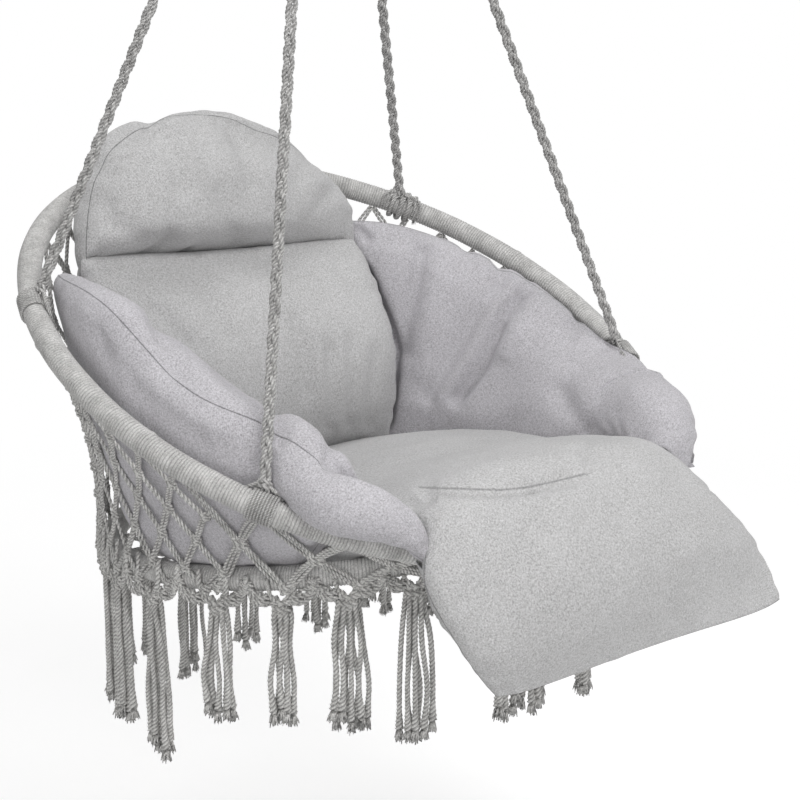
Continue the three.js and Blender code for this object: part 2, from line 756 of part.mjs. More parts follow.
// Stations of the middle cushions, as shares of the upper hoop's radius:
// left x, y, z, right x, y, z, arch, thickness.
const seamShares = [-0.58, -0.72, 0.32, 0.44, -0.88, 0.26];
const seatShares = [
  [-0.52, 0.44, 0.02, 0.54, 0.28, 0.02, 0.02, 0.24],
  [-0.56, 0.04, 0.09, 0.57, -0.10, 0.09, 0.03, 0.30],
  [-0.58, -0.36, 0.19, 0.54, -0.54, 0.17, 0.02, 0.27],
  [...seamShares, 0.02, 0.20],
];
const legShares = [
  [...seamShares, 0.02, 0.22],
  [-0.65, -0.83, 0.23, 0.47, -1.02, 0.13, 0.03, 0.27],
  [-0.67, -0.93, 0.02, 0.53, -1.14, -0.04, 0.03, 0.26],
  [-0.59, -0.97, -0.22, 0.53, -1.24, -0.22, 0.01, 0.17],
];
const backShares = [
  [-0.52, 0.44, 0.02, 0.56, 0.26, 0.04, 0.04, 0.30],
  [-0.56, 0.50, 0.28, 0.62, 0.29, 0.30, 0.05, 0.44],
  [-0.57, 0.57, 0.52, 0.65, 0.37, 0.50, 0.05, 0.42],
  [-0.57, 0.63, 0.74, 0.66, 0.46, 0.70, 0.04, 0.32],
];
const headShares = [
  [-0.53, 0.62, 0.62, 0.65, 0.48, 0.58, 0.03, 0.36],
  [-0.55, 0.67, 0.84, 0.65, 0.55, 0.78, 0.05, 0.40],
  [-0.44, 0.70, 1.04, 0.48, 0.58, 0.97, 0.05, 0.34],
  [-0.20, 0.66, 1.17, 0.16, 0.59, 1.13, 0.03, 0.18],
];

// The sewn line between the seat and the leg cushion, which lifts about it.
function seamFrame() {
  const [lx, ly, lz, rx, ry, rz] = seamShares.map((share) => share * upperRadius);
  const [left, right] = [new THREE.Vector3(lx, ly, lz), new THREE.Vector3(rx, ry, rz)];
  const along = new THREE.Vector3().subVectors(right, left).normalize();
  const forward = new THREE.Vector3().crossVectors(along, Z_AXIS).normalize();
  const up = new THREE.Vector3().crossVectors(forward, along).normalize();
  return { left, right, along, forward, up };
}

// A box in the seam's frame: sideways over all of it, from a place forward and up.
function seamBox({ reach, turn, from }) {
  const { left, right, along, forward, up } = seamFrame();
  const [c, s] = [Math.cos(turn * DEG), Math.sin(turn * DEG)];
  const ahead = forward.clone().multiplyScalar(c).addScaledVector(up, -s);
  const over = forward.clone().multiplyScalar(s).addScaledVector(up, c);
  const box = new THREE.BoxGeometry(4 * reach, 2 * reach, 2 * reach);
  box.applyMatrix4(new THREE.Matrix4().makeBasis(along.clone().negate(), ahead, over));
  const middle = left.clone().lerp(right, 0.5).addScaledVector(over, reach + from);
  return box.translate(middle.x, middle.y, middle.z);
}

// The room for the hoop as the leg cushion lifts: the lower and back half of a
// cylinder round the seam.
function flapRoom() {
  const { left, right, along } = seamFrame();
  const from = left.clone().addScaledVector(along, -flapRadius);
  const round = barBetween(from, right.clone().addScaledVector(along, flapRadius), flapRadius, roundSides);
  return cutBy(round, [seamBox({ reach: 2 * flapRadius, turn: flapSlope, from: 0 })]);
}

function stationsOf(rows) {
  return rows.map((row) => {
    const [lx, ly, lz, rx, ry, rz, arch, thick] = row.map((share) => share * upperRadius);
    return { left: new THREE.Vector3(lx, ly, lz), right: new THREE.Vector3(rx, ry, rz), arch, thick };
  });
}

// Wing stations: the angle, how far in from the hoops the foot and the crest lie, the
// foot's height over the lower hoop and the crest's over the upper, as shares.
const leftWingShares = [
  [-144, 0.26, 0.24, 0.12, 0.00, 0.6],
  [-124, 0.20, 0.12, 0.12, 0.11, 0.9],
  [-104, 0.16, 0.08, 0.11, 0.20, 1.05],
  [-82, 0.14, 0.08, 0.10, 0.21, 1.1],
  [-62, 0.12, 0.10, 0.13, 0.17, 0.95],
  [-46, 0.02, 0.20, 0.02, 0.11, 0.6],
  [-37, -0.06, 0.26, -0.02, 0.07, 0.3],
];
const rightWingShares = [
  [138, 0.26, 0.24, 0.12, -0.06, 0.6],
  [118, 0.20, 0.12, 0.11, 0.02, 0.95],
  [98, 0.16, 0.08, 0.10, 0.06, 1.1],
  [78, 0.14, 0.08, 0.08, 0.06, 1.1],
  [60, 0.10, 0.12, 0.02, 0.07, 0.95],
  [47, -0.02, 0.14, -0.08, 0.04, 0.75],
  [39, -0.16, 0.10, -0.16, 0.00, 0.5],
];

function wingStations(rows) {
  return rows.map(([degrees, footIn, footUp, crestIn, crestUp, thickShare]) => {
    const foot = hoopPoint(lowerHoop, degrees, -footIn * upperRadius);
    foot.addScaledVector(Z_AXIS, footUp * upperRadius);
    const crest = hoopPoint(upperHoop, degrees, -crestIn * upperRadius);
    crest.addScaledVector(Z_AXIS, crestUp * upperRadius);
    return { foot, crest, arch: wingArch, thick: thickShare * wingThickness };
  });
}

function wing(rows, mirrored) {
  const stations = wingStations(rows).map(({ foot, crest, arch, thick }) => ({
    left: mirrored ? crest : foot, right: mirrored ? foot : crest, arch: mirrored ? arch : -arch, thick,
  }));
  return cushion(stations, { across: 7, along: 15, drawIn: 0 });
}

function thicker(stations) {
  return stations.map((station) => ({ ...station, thick: station.thick + 2 * softGap }));
}

// A slab round the net between the hoops in front, past its knots' ends.
function frontNetRoom() {
  const room = new Net(wallSurface(0, true), netThickness + 4 * (netFacetSag + softGap));
  const ends = [-slabOverShare, 1 + slabOverShare];
  const ids = [];
  const last = panelColumns + 0.5;
  for (let c = -last; c <= last; c += 0.5) {
    ids.push(ends.map((s) => room.vertex(room.corners(c, s, 0).left)));
  }
  for (let k = 0; k + 1 < ids.length; k += 1) {
    room.polygons.push([ids[k][0], ids[k + 1][0], ids[k + 1][1], ids[k][1]]);
  }
  return room.geometry();
}

// What the cushions keep clear of: the wound hoops, the front net, the ropes and
// their hitches.
function roomOfFrame() {
  const corner = Math.cos(Math.PI / ropeSides);
  const rooms = [upperHoop, lowerHoop].map((hoop) => hoopTube(hoop, wrapRadius + softGap, roomSides));
  rooms.push(frontNetRoom());
  const over = softGap / upperRadius / DEG;
  for (const { degrees, on, hang } of ropeLines()) {
    rooms.push(barBetween(on, hang, (ropeRadius + softGap) / corner, ropeSides));
    const arc = new HoopArc(upperHoop, degrees - hitchHalfAngle - over, degrees + hitchHalfAngle + over);
    rooms.push(roundBar(arc, (hitchOutside + softGap) / corner, ropeSides, 2));
  }
  return rooms;
}

function addCushions(group) {
  const frameRoom = roomOfFrame();
  const sewnLine = (u, v) => {
    const fromLine = (v - channelPlaceShare) / channelWidthShare;
    return 1 - channelDepthShare * Math.exp(-(fromLine ** 2)) * Math.sin(Math.PI * u);
  };
  const sizes = {
    seat: { across: 12, along: 14, channel: sewnLine },
    leg: { across: 12, along: 11 },
    back: { across: 12, along: 10 },
    head: { across: 12, along: 9, drawIn: 0 },
  };
  const rows = { seat: seatShares, leg: legShares, back: backShares, head: headShares };
  const shape = (name) => cushion(stationsOf(rows[name]), sizes[name]);
  const room = (name) => cushion(thicker(stationsOf(rows[name])), sizes[name]);
  const basket = basketRoom();
  const add = (name, body, cutters, within) => {
    addPiece(group, `${name}_cushion`, cutBy(body, [...frameRoom, ...cutters], within), 'cloth');
  };
  add('seat', shape('seat'), [], basket);
  add('leg', shape('leg'), [room('seat'), flapRoom()]);
  add('back', shape('back'), [room('seat')], basket);
  add('head', shape('head'), [room('back')], basket);
  const ahead = seamBox({ reach: upperRadius, turn: 90, from: -softGap });
  const inner = [room('seat'), room('leg'), room('back'), room('head')];
  add('left_wing', wing(leftWingShares, false), [...inner, ahead], basket);
  add('right_wing', wing(rightWingShares, true), inner, basket);
}

const hangingChair = new THREE.Group();
addSwivelEye(hangingChair);
addHook(hangingChair);
addGate(hangingChair);
addRing(hangingChair);

const chair = new THREE.Group();
chair.position.set(0, -pivotBack, ringBottom - ropeRise);
hangingChair.add(chair);
addRopes(chair);
addHoop(chair, 'upper_hoop', upperHoop);
addHoop(chair, 'lower_hoop', lowerHoop);
addSideNet(chair);
addSeatNet(chair);
addFringe(chair);
addCushions(chair);

export default hangingChair;
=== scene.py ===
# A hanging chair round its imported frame: cord-wound hoops, a knotted net with a
# fringe, braided ropes, steel hanging parts and five padded pieces. Metres, +Z up.
import math
from itertools import product

import bpy
import numpy as np
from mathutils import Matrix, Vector
from mathutils.bvhtree import BVHTree


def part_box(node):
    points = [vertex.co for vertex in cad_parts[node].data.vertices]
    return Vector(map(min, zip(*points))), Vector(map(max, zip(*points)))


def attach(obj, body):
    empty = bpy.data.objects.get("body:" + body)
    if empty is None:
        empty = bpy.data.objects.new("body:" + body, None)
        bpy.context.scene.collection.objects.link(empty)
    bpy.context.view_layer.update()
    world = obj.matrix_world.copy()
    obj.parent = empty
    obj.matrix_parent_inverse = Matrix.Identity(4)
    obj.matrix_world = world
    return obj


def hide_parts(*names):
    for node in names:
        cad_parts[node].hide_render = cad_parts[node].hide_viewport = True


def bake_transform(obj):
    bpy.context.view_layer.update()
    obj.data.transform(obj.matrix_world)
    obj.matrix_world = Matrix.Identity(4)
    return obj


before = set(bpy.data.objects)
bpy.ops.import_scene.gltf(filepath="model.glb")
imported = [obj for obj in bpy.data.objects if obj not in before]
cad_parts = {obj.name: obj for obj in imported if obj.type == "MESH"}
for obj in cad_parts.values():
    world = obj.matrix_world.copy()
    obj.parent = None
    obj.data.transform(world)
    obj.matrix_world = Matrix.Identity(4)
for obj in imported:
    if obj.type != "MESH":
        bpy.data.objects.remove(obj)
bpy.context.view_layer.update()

MM = 0.001
UP = np.array([0.0, 0.0, 1.0])
ACROSS = np.array([1.0, 0.0, 0.0])
REARWARDS = np.array([0.0, 1.0, 0.0])


def centre(node):
    low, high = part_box(node)
    return np.array((low + high) / 2)


CHAIR = centre("lower_hoop_tube")

# The hoops, as the frame has them
UPPER = {"radius": 400 * MM, "tilt": math.radians(23.6), "at": CHAIR + np.array([0, -6.96, 211.97]) * MM}
LOWER = {"radius": 300 * MM, "tilt": math.radians(-9), "at": CHAIR}
WRAP = 14.3 * MM
SEAT_GAP = 0.5 * MM

# The photograph's camera, from the lower hoop's centre
CAMERA = CHAIR + np.array([-1.83759, -1.50586, 0.90047])
CAMERA_AZIMUTH = math.radians(-52.19)
CAMERA_RISE = math.radians(17.88)
FOCAL_PIXELS = 2017
PHOTO_SIDE = 800
PHOTO_CENTRE = (400.9, 400)
SENSOR = 36

random = np.random.default_rng(11)


def unit(v):
    return v / np.maximum(np.linalg.norm(v, axis=-1, keepdims=True), 1e-12)


def new_object(name, data):
    thing = bpy.data.objects.new(name, data)
    bpy.context.scene.collection.objects.link(thing)
    return thing


def aim(thing, place, way):
    """Puts a camera or a lamp at a place, facing along a way."""
    thing.location = place
    thing.rotation_mode = "QUATERNION"
    thing.rotation_quaternion = Vector(way).to_track_quat("-Z", "Y")


def make_camera():
    """The photograph's camera, and the way from the chair back to it."""
    data = bpy.data.cameras.new("camera")
    data.sensor_width = SENSOR
    data.lens = SENSOR * FOCAL_PIXELS / PHOTO_SIDE
    data.shift_x = (PHOTO_SIDE / 2 - PHOTO_CENTRE[0]) / PHOTO_SIDE
    data.clip_start, data.clip_end = 0.05, 100
    back = Vector((
        math.sin(CAMERA_AZIMUTH) * math.cos(CAMERA_RISE),
        -math.cos(CAMERA_AZIMUTH) * math.cos(CAMERA_RISE),
        math.sin(CAMERA_RISE),
    ))
    camera = new_object("camera", data)
    aim(camera, CAMERA, -back)
    bpy.context.scene.camera = camera
    return np.array(back)


VIEW_BACK = make_camera()
VIEW_RIGHT = unit(np.cross(UP, VIEW_BACK))
VIEW_UP = np.cross(VIEW_BACK, VIEW_RIGHT)


def in_photo(points):
    """Where points fall in the photograph, in its pixels."""
    rel = points - CAMERA
    depth = -(rel @ VIEW_BACK)
    x = PHOTO_CENTRE[0] + FOCAL_PIXELS * (rel @ VIEW_RIGHT) / depth
    y = PHOTO_CENTRE[1] - FOCAL_PIXELS * (rel @ VIEW_UP) / depth
    return np.stack([x, y], -1)


# Meshes

def mesh_of(name, points, faces, rounded=True):
    """A mesh from points and a list of face arrays, each of one number of corners."""
    mesh = bpy.data.meshes.new(name)
    corners = np.concatenate([f.ravel() for f in faces]).astype(np.int32)
    sizes = np.concatenate([np.full(len(f), f.shape[1]) for f in faces])
    starts = np.concatenate([[0], np.cumsum(sizes)[:-1]]).astype(np.int32)
    mesh.vertices.add(len(points))
    mesh.vertices.foreach_set("co", np.ascontiguousarray(points, np.float32).ravel())
    mesh.loops.add(len(corners))
    mesh.loops.foreach_set("vertex_index", corners)
    mesh.polygons.add(len(starts))
    mesh.polygons.foreach_set("loop_start", starts)
    mesh.polygons.foreach_set("use_smooth", np.full(len(starts), rounded))
    mesh.update(calc_edges=True)
    return mesh


def point_attribute(mesh, name, values):
    attribute = mesh.attributes.new(name, "FLOAT", "POINT")
    attribute.data.foreach_set("value", np.ascontiguousarray(values, np.float32))


class Gather:
    """Swept cords and other closed grids gathered into one mesh."""

    def __init__(self):
        self.points, self.faces, self.ridges, self.count = [], [], [], 0

    def add(self, grid, ends=True):
        rings, sides = grid.shape[:2]
        self.ridges.append(grid[..., 3].ravel())
        k = np.arange(rings - 1)[:, None]
        j = np.arange(sides)[None, :]
        after = (j + 1) % sides
        quads = [k * sides + j, k * sides + after, (k + 1) * sides + after, (k + 1) * sides + j]
        self.faces.append(np.stack(quads, -1).reshape(-1, 4) + self.count)
        if ends:
            first = np.arange(sides)[::-1]
            last = (rings - 1) * sides + np.arange(sides)
            self.faces.append(np.stack([first, last]) + self.count)
        self.points.append(grid[..., :3].reshape(-1, 3))
        self.count += rings * sides

    def cord(self, path, radius, ref, **twist):
        self.add(strand(path, radius, ref, **twist))

    def piece(self, name, material, replaces=()):
        mesh = mesh_of(name, np.concatenate(self.points), self.faces)
        point_attribute(mesh, "ridge", np.concatenate(self.ridges))
        return dress(new_object(name, mesh), material, replaces)


def paint(thing, material):
    thing.data.materials.clear()
    thing.data.materials.append(material)


def dress(thing, material, replaces=(), body="chair"):
    paint(thing, material)
    if body:
        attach(thing, body)
    if replaces:
        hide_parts(*replaces)
    return thing


def along(path):
    return np.concatenate([[0], np.cumsum(np.linalg.norm(np.diff(path, axis=0), axis=1))])


def spline(rows, t):
    """A smooth curve through rows of numbers, at shares t of its length."""
    p = np.asarray(rows, float)
    p = np.concatenate([[2 * p[0] - p[1]], p, [2 * p[-1] - p[-2]]])
    s = np.clip(t, 0, 1) * (len(p) - 3)
    k = np.minimum(s.astype(int), len(p) - 4)
    f = (s - k)[..., None]
    a, b, c, d = p[k], p[k + 1], p[k + 2], p[k + 3]
    return 0.5 * (2 * b + (c - a) * f + (2 * a - 5 * b + 4 * c - d) * f**2 + (3 * b - a - 3 * c + d) * f**3)


def smooth(points, count):
    """A smooth curve through a few points, at that many places."""
    return spline(points, np.linspace(0, 1, count))


def square_to(path, ref):
    """Two directions square to a path, the first as near to ref as it gets."""
    tangent = unit(np.gradient(path, axis=0))
    ref = np.broadcast_to(ref, path.shape)
    across = unit(ref - (ref * tangent).sum(-1, keepdims=True) * tangent)
    return across, np.cross(tangent, across)


def strand(path, radius, ref, plies=3, sides=9, lay=3.0, groove=0.26, phase=0.0, swell=None):
    """The rings of a twisted cord along a path; lay is the twist's pitch in diameters.

    Each point also has a fourth number, 1 on a ply's back and 0 between two plies; the cord materials darken
    towards 0 as painted shade in the grooves.
    """
    across, other = square_to(path, ref)
    turn = 2 * np.pi * along(path) / (lay * 2 * radius) + phase
    phi = 2 * np.pi * np.arange(sides) / sides
    back = 0.5 + 0.5 * np.cos(plies * phi) if groove else 1 + 0 * phi
    r = radius * (1 - groove * (1 - back))[None, :]
    if swell is not None:
        r = r * np.asarray(swell)[:, None]
    angle = phi[None, :] + turn[:, None]
    points = (
        path[:, None, :]
        + (r * np.cos(angle))[..., None] * across[:, None, :]
        + (r * np.sin(angle))[..., None] * other[:, None, :]
    )
    return np.concatenate([points, np.broadcast_to(back, angle.shape)[..., None]], -1)


def hoop_point(hoop, degrees, out=0.0, up=0.0):
    a = np.radians(degrees)
    r = hoop["radius"] + out
    inward = -r * np.cos(a)
    c, s = math.cos(hoop["tilt"]), math.sin(hoop["tilt"])
    x = r * np.sin(a)
    return hoop["at"] + np.stack([x, inward * c - up * s + 0 * x, inward * s + up * c + 0 * x], -1)


def hoop_tangent(hoop, degrees):
    return unit(hoop_point(hoop, np.asarray(degrees) + 1) - hoop_point(hoop, np.asarray(degrees) - 1))


def hoop_normal(hoop):
    return np.array([0, -math.sin(hoop["tilt"]), math.cos(hoop["tilt"])])


# Materials

class Nodes:
    """A short way to write the nodes of a material or a world."""

    def __init__(self, owner, shader="Principled BSDF"):
        owner.use_nodes = True
        self.owner, self.tree = owner, owner.node_tree
        self.shader = self.tree.nodes[shader]

    def give(self, node, values):
        """Sets a node's settings and inputs. A value that is a socket is linked."""
        for key, value in values.items():
            if isinstance(key, str) and hasattr(node, key):
                setattr(node, key, value)
            elif isinstance(value, bpy.types.NodeSocket):
                self.tree.links.new(value, node.inputs[key])
            else:
                node.inputs[key].default_value = value

    def add(self, kind, values=None):
        """The outputs of a new node."""
        node = self.tree.nodes.new("ShaderNode" + kind)
        self.give(node, values or {})
        return node.outputs

    def attribute(self, name, output="Fac"):
        return self.add("Attribute", {"attribute_name": name})[output]

    def noise(self, coords, scale, detail=2.0, rough=0.5):
        values = {"Vector": coords, "Scale": scale, "Detail": detail, "Roughness": rough}
        return self.add("TexNoise", values)["Fac"]

    def math(self, op, a, b=0.0):
        return self.add("Math", {"operation": op, 0: a, 1: b})[0]

    def total(self, *parts):
        """The sum of some values, each times its share."""
        result = 0.0
        for value, share in parts:
            result = self.math("ADD", result, self.math("MULTIPLY", value, share))
        return result

    def remap(self, value, low=0.0, high=1.0, to_low=0.0, to_high=1.0):
        return self.add("MapRange", {0: value, 1: low, 2: high, 3: to_low, 4: to_high})[0]

    def scaled(self, colour, by):
        return self.add("VectorMath", {"operation": "SCALE", 0: colour, "Scale": by})[0]

    def ramp(self, fac, *stops):
        colour = self.add("ValToRGB", {"Fac": fac})["Color"]
        elements = colour.node.color_ramp.elements
        while len(elements) < len(stops):
            elements.new(0.5)
        for element, (place, tint) in zip(elements, stops):
            element.position = place
            element.color = (*tint, 1)
        return colour

    def bump(self, height, strength, distance):
        values = {"Strength": strength, "Distance": distance, "Height": height}
        self.give(self.shader, {"Normal": self.add("Bump", values)["Normal"]})


# How dark the painted shade in the groove between two plies is, and the cloth's threads and flecks
GROOVE_SHADE = 0.38
THREADS_PER_METRE = 1150
FLECKS_PER_METRE = 520
STREAKS_PER_METRE = (620, 240, 40)


def new_material(name):
    """A material's nodes, and the place of each point for its textures."""
    n = Nodes(bpy.data.materials.new(name))
    return n, n.add("NewGeometry")["Position"]


def cotton(name, dark, light, fibre, groove=GROOVE_SHADE):
    """Twisted cotton cord: streaky greys, painted shade between the plies, a dull surface and a fuzz of
    fibres.
    """
    n, place = new_material(name)
    streaks = n.total((n.noise(place, fibre, 3, 0.7), 0.7), (n.noise(place, 60), 0.3))
    # Painted shade: the colour darkens from the plies' backs into the grooves between them.
    shade = n.remap(n.attribute("ridge"), 0.0, 0.75, groove)
    n.give(n.shader, {
        "Base Color": n.scaled(n.ramp(streaks, (0.34, dark), (0.66, light)), shade),
        "Roughness": 0.95,
        "Specular IOR Level": 0.15,
        "Sheen Weight": 0.15,
    })
    n.bump(n.noise(place, fibre, 4, 0.75), 0.7, 0.6 * MM)
    return n.owner


def woven(name, dark, light, tint):
    """Heathered plain weave, with painted shade along the seams and the quilted channel. The threads follow
    the cushion's own cloth coordinates.
    """
    n, place = new_material(name)
    cloth = n.attribute("cloth", "Vector")
    threads = n.add("SeparateXYZ", {0: cloth})
    wobble = n.math("MULTIPLY", n.noise(place, 25), 0.004)
    waves = []
    for axis in (0, 1):
        run = n.math("ADD", threads[axis], wobble)
        waves.append(n.math("SINE", n.math("MULTIPLY", run, THREADS_PER_METRE * math.pi)))
    weave = n.math("MULTIPLY", *waves)
    fleck = n.noise(place, FLECKS_PER_METRE, 3, 0.7)
    cloud = n.noise(place, 9, 3)
    stretched = n.add("VectorMath", {"operation": "MULTIPLY", 0: cloth, 1: STREAKS_PER_METRE})[0]
    shade = n.total((fleck, 0.74), (n.noise(stretched, 1.0), 0.18), (weave, 0.05), (cloud, 0.1))
    colour = n.ramp(shade, (0.36, dark), (0.5, tint), (0.66, light))
    # Painted shade: the colour darkens along the seams, where the cloth pinches, and along the pad's quilted
    # channel, where its crease is shaded; noise makes these dark lines uneven.
    for mark, dark_to, shade_at in (("seam", 1.6 * MM, 0.42), ("channel", 2.6 * MM, 0.60)):
        uneven = n.math("ADD", 0.4, n.math("MULTIPLY", n.noise(place, 110), 1.6))
        far = n.math("MULTIPLY", n.math("ABSOLUTE", n.attribute(mark)), uneven)
        colour = n.scaled(colour, n.remap(far, 0.3 * MM, dark_to, shade_at))
    n.give(n.shader, {
        "Base Color": colour,
        "Roughness": 0.92,
        "Specular IOR Level": 0.2,
        "Sheen Weight": 0.2,
        "Sheen Roughness": 0.5,
    })
    n.bump(n.total((weave, 0.35), (fleck, 0.9)), 0.55, 0.5 * MM)
    return n.owner


def steel(name):
    n, place = new_material(name)
    worn = n.noise(place, 240, 4, 0.6)
    n.give(n.shader, {
        "Base Color": n.ramp(worn, (0.3, (0.42, 0.43, 0.44)), (0.7, (0.62, 0.63, 0.64))),
        "Metallic": 1,
        "Roughness": n.remap(worn, to_low=0.22, to_high=0.42),
    })
    n.bump(n.noise(place, 900), 0.15, 0.1 * MM)
    return n.owner


def painted(name):
    n, place = new_material(name)
    worn = n.noise(place, 120, 3)
    n.give(n.shader, {
        "Base Color": n.ramp(worn, (0.3, (0.035, 0.035, 0.037)), (0.7, (0.06, 0.06, 0.062))),
        "Roughness": 0.5,
    })
    n.bump(n.noise(place, 1500), 0.2, 0.1 * MM)
    return n.owner


CORD = cotton("grey_cotton_cord", (0.40, 0.393, 0.38), (0.92, 0.91, 0.89), 640)
ROPE = cotton("grey_cotton_rope", (0.30, 0.295, 0.288), (0.80, 0.792, 0.778), 640)
# The winding's last number sets its painted shade between the turns, lighter than the other cords' groove
# shade.
WINDING = cotton("grey_cotton_winding", (0.33, 0.325, 0.318), (0.74, 0.733, 0.72), 560, 0.58)
CLOTH = woven("heather_grey_cloth", (0.30, 0.296, 0.294), (0.66, 0.655, 0.66), (0.49, 0.487, 0.488))
WING_CLOTH = woven("heather_lilac_grey_cloth", (0.30, 0.29, 0.305), (0.66, 0.645, 0.675), (0.49, 0.477, 0.50))
STEEL = steel("brushed_steel")
PAINT = painted("dark_paint")

# Ropes: a three-strand braid from a hitch on the upper hoop to an eye on the ring
ROPE_RADIUS = 6.5 * MM
ROPE_RISE = 1120 * MM
PIVOT_BACK = 20 * MM
EYE_HOLE = 12 * MM
EYE_SPACING = 13.5 * MM
RING_RADIUS = 50 * MM
RING_WIRE = 5 * MM
METAL_FIT = 0.3 * MM
HITCH_HALF_ANGLE = 2.6
HITCH_OUTSIDE = 22.3 * MM
BRAID_PITCH = 66 * MM
BRAID_WIDE = 4.1 * MM
BRAID_DEEP = 2.3 * MM
BRAID_STRAND = 3.1 * MM
BRAID_STEP = 2.6 * MM
ROPE_LAY = 2.6
# Each rope's place on the upper hoop in degrees, and in the row of eyes on the ring
ROPES = {
    "front_left": (-63, -1.5), "back_left": (-121.5, -0.5),
    "front_right": (63, 0.5), "back_right": (121.5, 1.5),
}
# The thin cord that binds each rope below its eye
BINDING_DROP = 16 * MM
BINDING_OUT = 0.9 * MM
BINDING_CORD = 1.1 * MM
BINDING_TURNS = 8
BINDING_PITCH = 2.1 * MM


def braid(gather, path, ref, phase=0.0, shrink=1.0):
    """Three strands that cross over and under each other along a path."""
    wide, deep = square_to(path, ref)
    run = along(path)
    for k in range(3):
        turn = 2 * np.pi * (run / BRAID_PITCH + k / 3) + phase
        line = path + shrink * (
            BRAID_WIDE * np.sin(turn)[:, None] * wide + BRAID_DEEP * np.sin(2 * turn)[:, None] * deep
        )
        gather.cord(line, BRAID_STRAND * (0.6 + 0.4 * shrink), wide, lay=ROPE_LAY, phase=k)


def rope_ends(name):
    degrees, place = ROPES[name]
    x = place * EYE_SPACING
    on = hoop_point(UPPER, degrees)
    hang = CHAIR + np.array([x, PIVOT_BACK, ROPE_RISE])
    rise = unit(hang - on)
    slant = abs(rise @ hoop_tangent(UPPER, degrees))
    clear = HITCH_OUTSIDE + SEAT_GAP + ROPE_RADIUS * slant
    foot = on + rise * clear / math.sqrt(1 - slant**2)
    inner = RING_RADIUS - RING_WIRE - METAL_FIT - ROPE_RADIUS
    seat = RING_RADIUS - math.sqrt(inner**2 - x**2)
    eye = CHAIR + np.array([x, PIVOT_BACK, ROPE_RISE + seat - EYE_HOLE - ROPE_RADIUS])
    return on, foot, eye


def numbered(name, count):
    return [f"{name}_{n}" for n in range(1, count + 1)]


def twisted_ring(gather, middle, normal, start, radius, cord, turns=1.0, pitch=0.0, steps=40):
    """A cord wound round an axis: turns turns at a radius, each a pitch further on."""
    other = np.cross(normal, start)
    t = np.linspace(0, 1, int(steps * turns) + 1)
    a = 2 * np.pi * turns * t
    path = middle + radius * (np.cos(a)[:, None] * start + np.sin(a)[:, None] * other)
    path = path + normal * (pitch * turns * (t - 0.5))[:, None]
    gather.cord(path, cord, normal, lay=ROPE_LAY)


# A loose fibre's thickness as a share of its cord's radius, and how it tapers
FIBRE = 0.3
FIBRE_TAPER = [1, 0.9, 0.7, 0.35]


def frayed(gather, at, way, radius, length, count):
    """Loose fibres at a cord's cut end."""
    side = unit(np.cross(way, [0.31, 0.62, 0.17]))
    other = np.cross(way, side)
    for k in range(count):
        a = 2 * np.pi * (k + random.uniform(0, 0.8)) / count
        out = (math.cos(a) * side + math.sin(a) * other) * radius * math.sqrt(random.uniform(0.15, 1))
        reach = length * random.uniform(0.7, 1.1)
        flare = random.uniform(0.8, 1.5)
        halfway = at + 0.7 * flare * out + way * reach * 0.5
        path = smooth([at + 0.45 * out, halfway, at + flare * out + way * reach], 4)
        gather.cord(path, FIBRE * radius, side, plies=1, sides=4, groove=0, swell=FIBRE_TAPER)


def make_rope(name):
    _, foot, eye = rope_ends(name)
    start = eye - UP * (EYE_HOLE + ROPE_RADIUS)
    length = float(np.linalg.norm(start - foot))
    line = foot + (start - foot) * np.linspace(0, 1, int(length / BRAID_STEP))[:, None]
    rope = Gather()
    braid(rope, line, unit(np.cross(start - foot, VIEW_BACK)), phase=random.uniform(0, 6))
    piece = rope.piece(f"braided_rope_{name}", ROPE, [f"rope_{name}"])
    loop = Gather()
    a = np.linspace(-np.pi / 2, 1.5 * np.pi, 50)
    turn = np.cos(a)[:, None] * REARWARDS + np.sin(a)[:, None] * UP
    braid(loop, eye + (EYE_HOLE + ROPE_RADIUS) * turn, ACROSS, shrink=0.94)
    rise = unit(start - foot)
    twisted_ring(
        loop, start - rise * BINDING_DROP, rise, unit(np.cross(rise, ACROSS)), ROPE_RADIUS + BINDING_OUT,
        BINDING_CORD, BINDING_TURNS, BINDING_PITCH, steps=18,
    )
    eye_piece = loop.piece(f"rope_eye_{name}", ROPE)


# Hitches: turns of cord over the winding, and the knots where the rope's strands meet
# them. At the back right the rope's own strands go round, crossed, with cut tails.
HITCH_CORD = 1.9 * MM
HITCH_SHIFTS = np.arange(-15, 15.1, 3.4)
HITCH_SLANT = 0.04
HITCH_STRAND = 2.5 * MM
HITCH_REACHES = (13, 21)
LUMPY_HITCH = "back_right"
LUMPY_CORD = 2.7 * MM
# Each turn of the lumpy hitch: its shift along the hoop, its slant, and how far out
LUMPY_TURNS = (
    (-14, 0.25, 0), (-8, -0.18, 1.2), (-2, 0.1, 0.3), (4, -0.25, 1.6), (9, 0.2, 0.2), (14, -0.1, 0.8),
)
# Its cut tails: shift along the hoop, drop, and drift
LUMPY_TAILS = ((-22, 13, -6), (-14, 22, -1), (12, 16, 3))
TAIL_CORD = 2.2 * MM
TAIL_FRAY = (2.6 * MM, 9 * MM, 12)
SOFT_TWIST = {"lay": 2.4, "groove": 0.34}


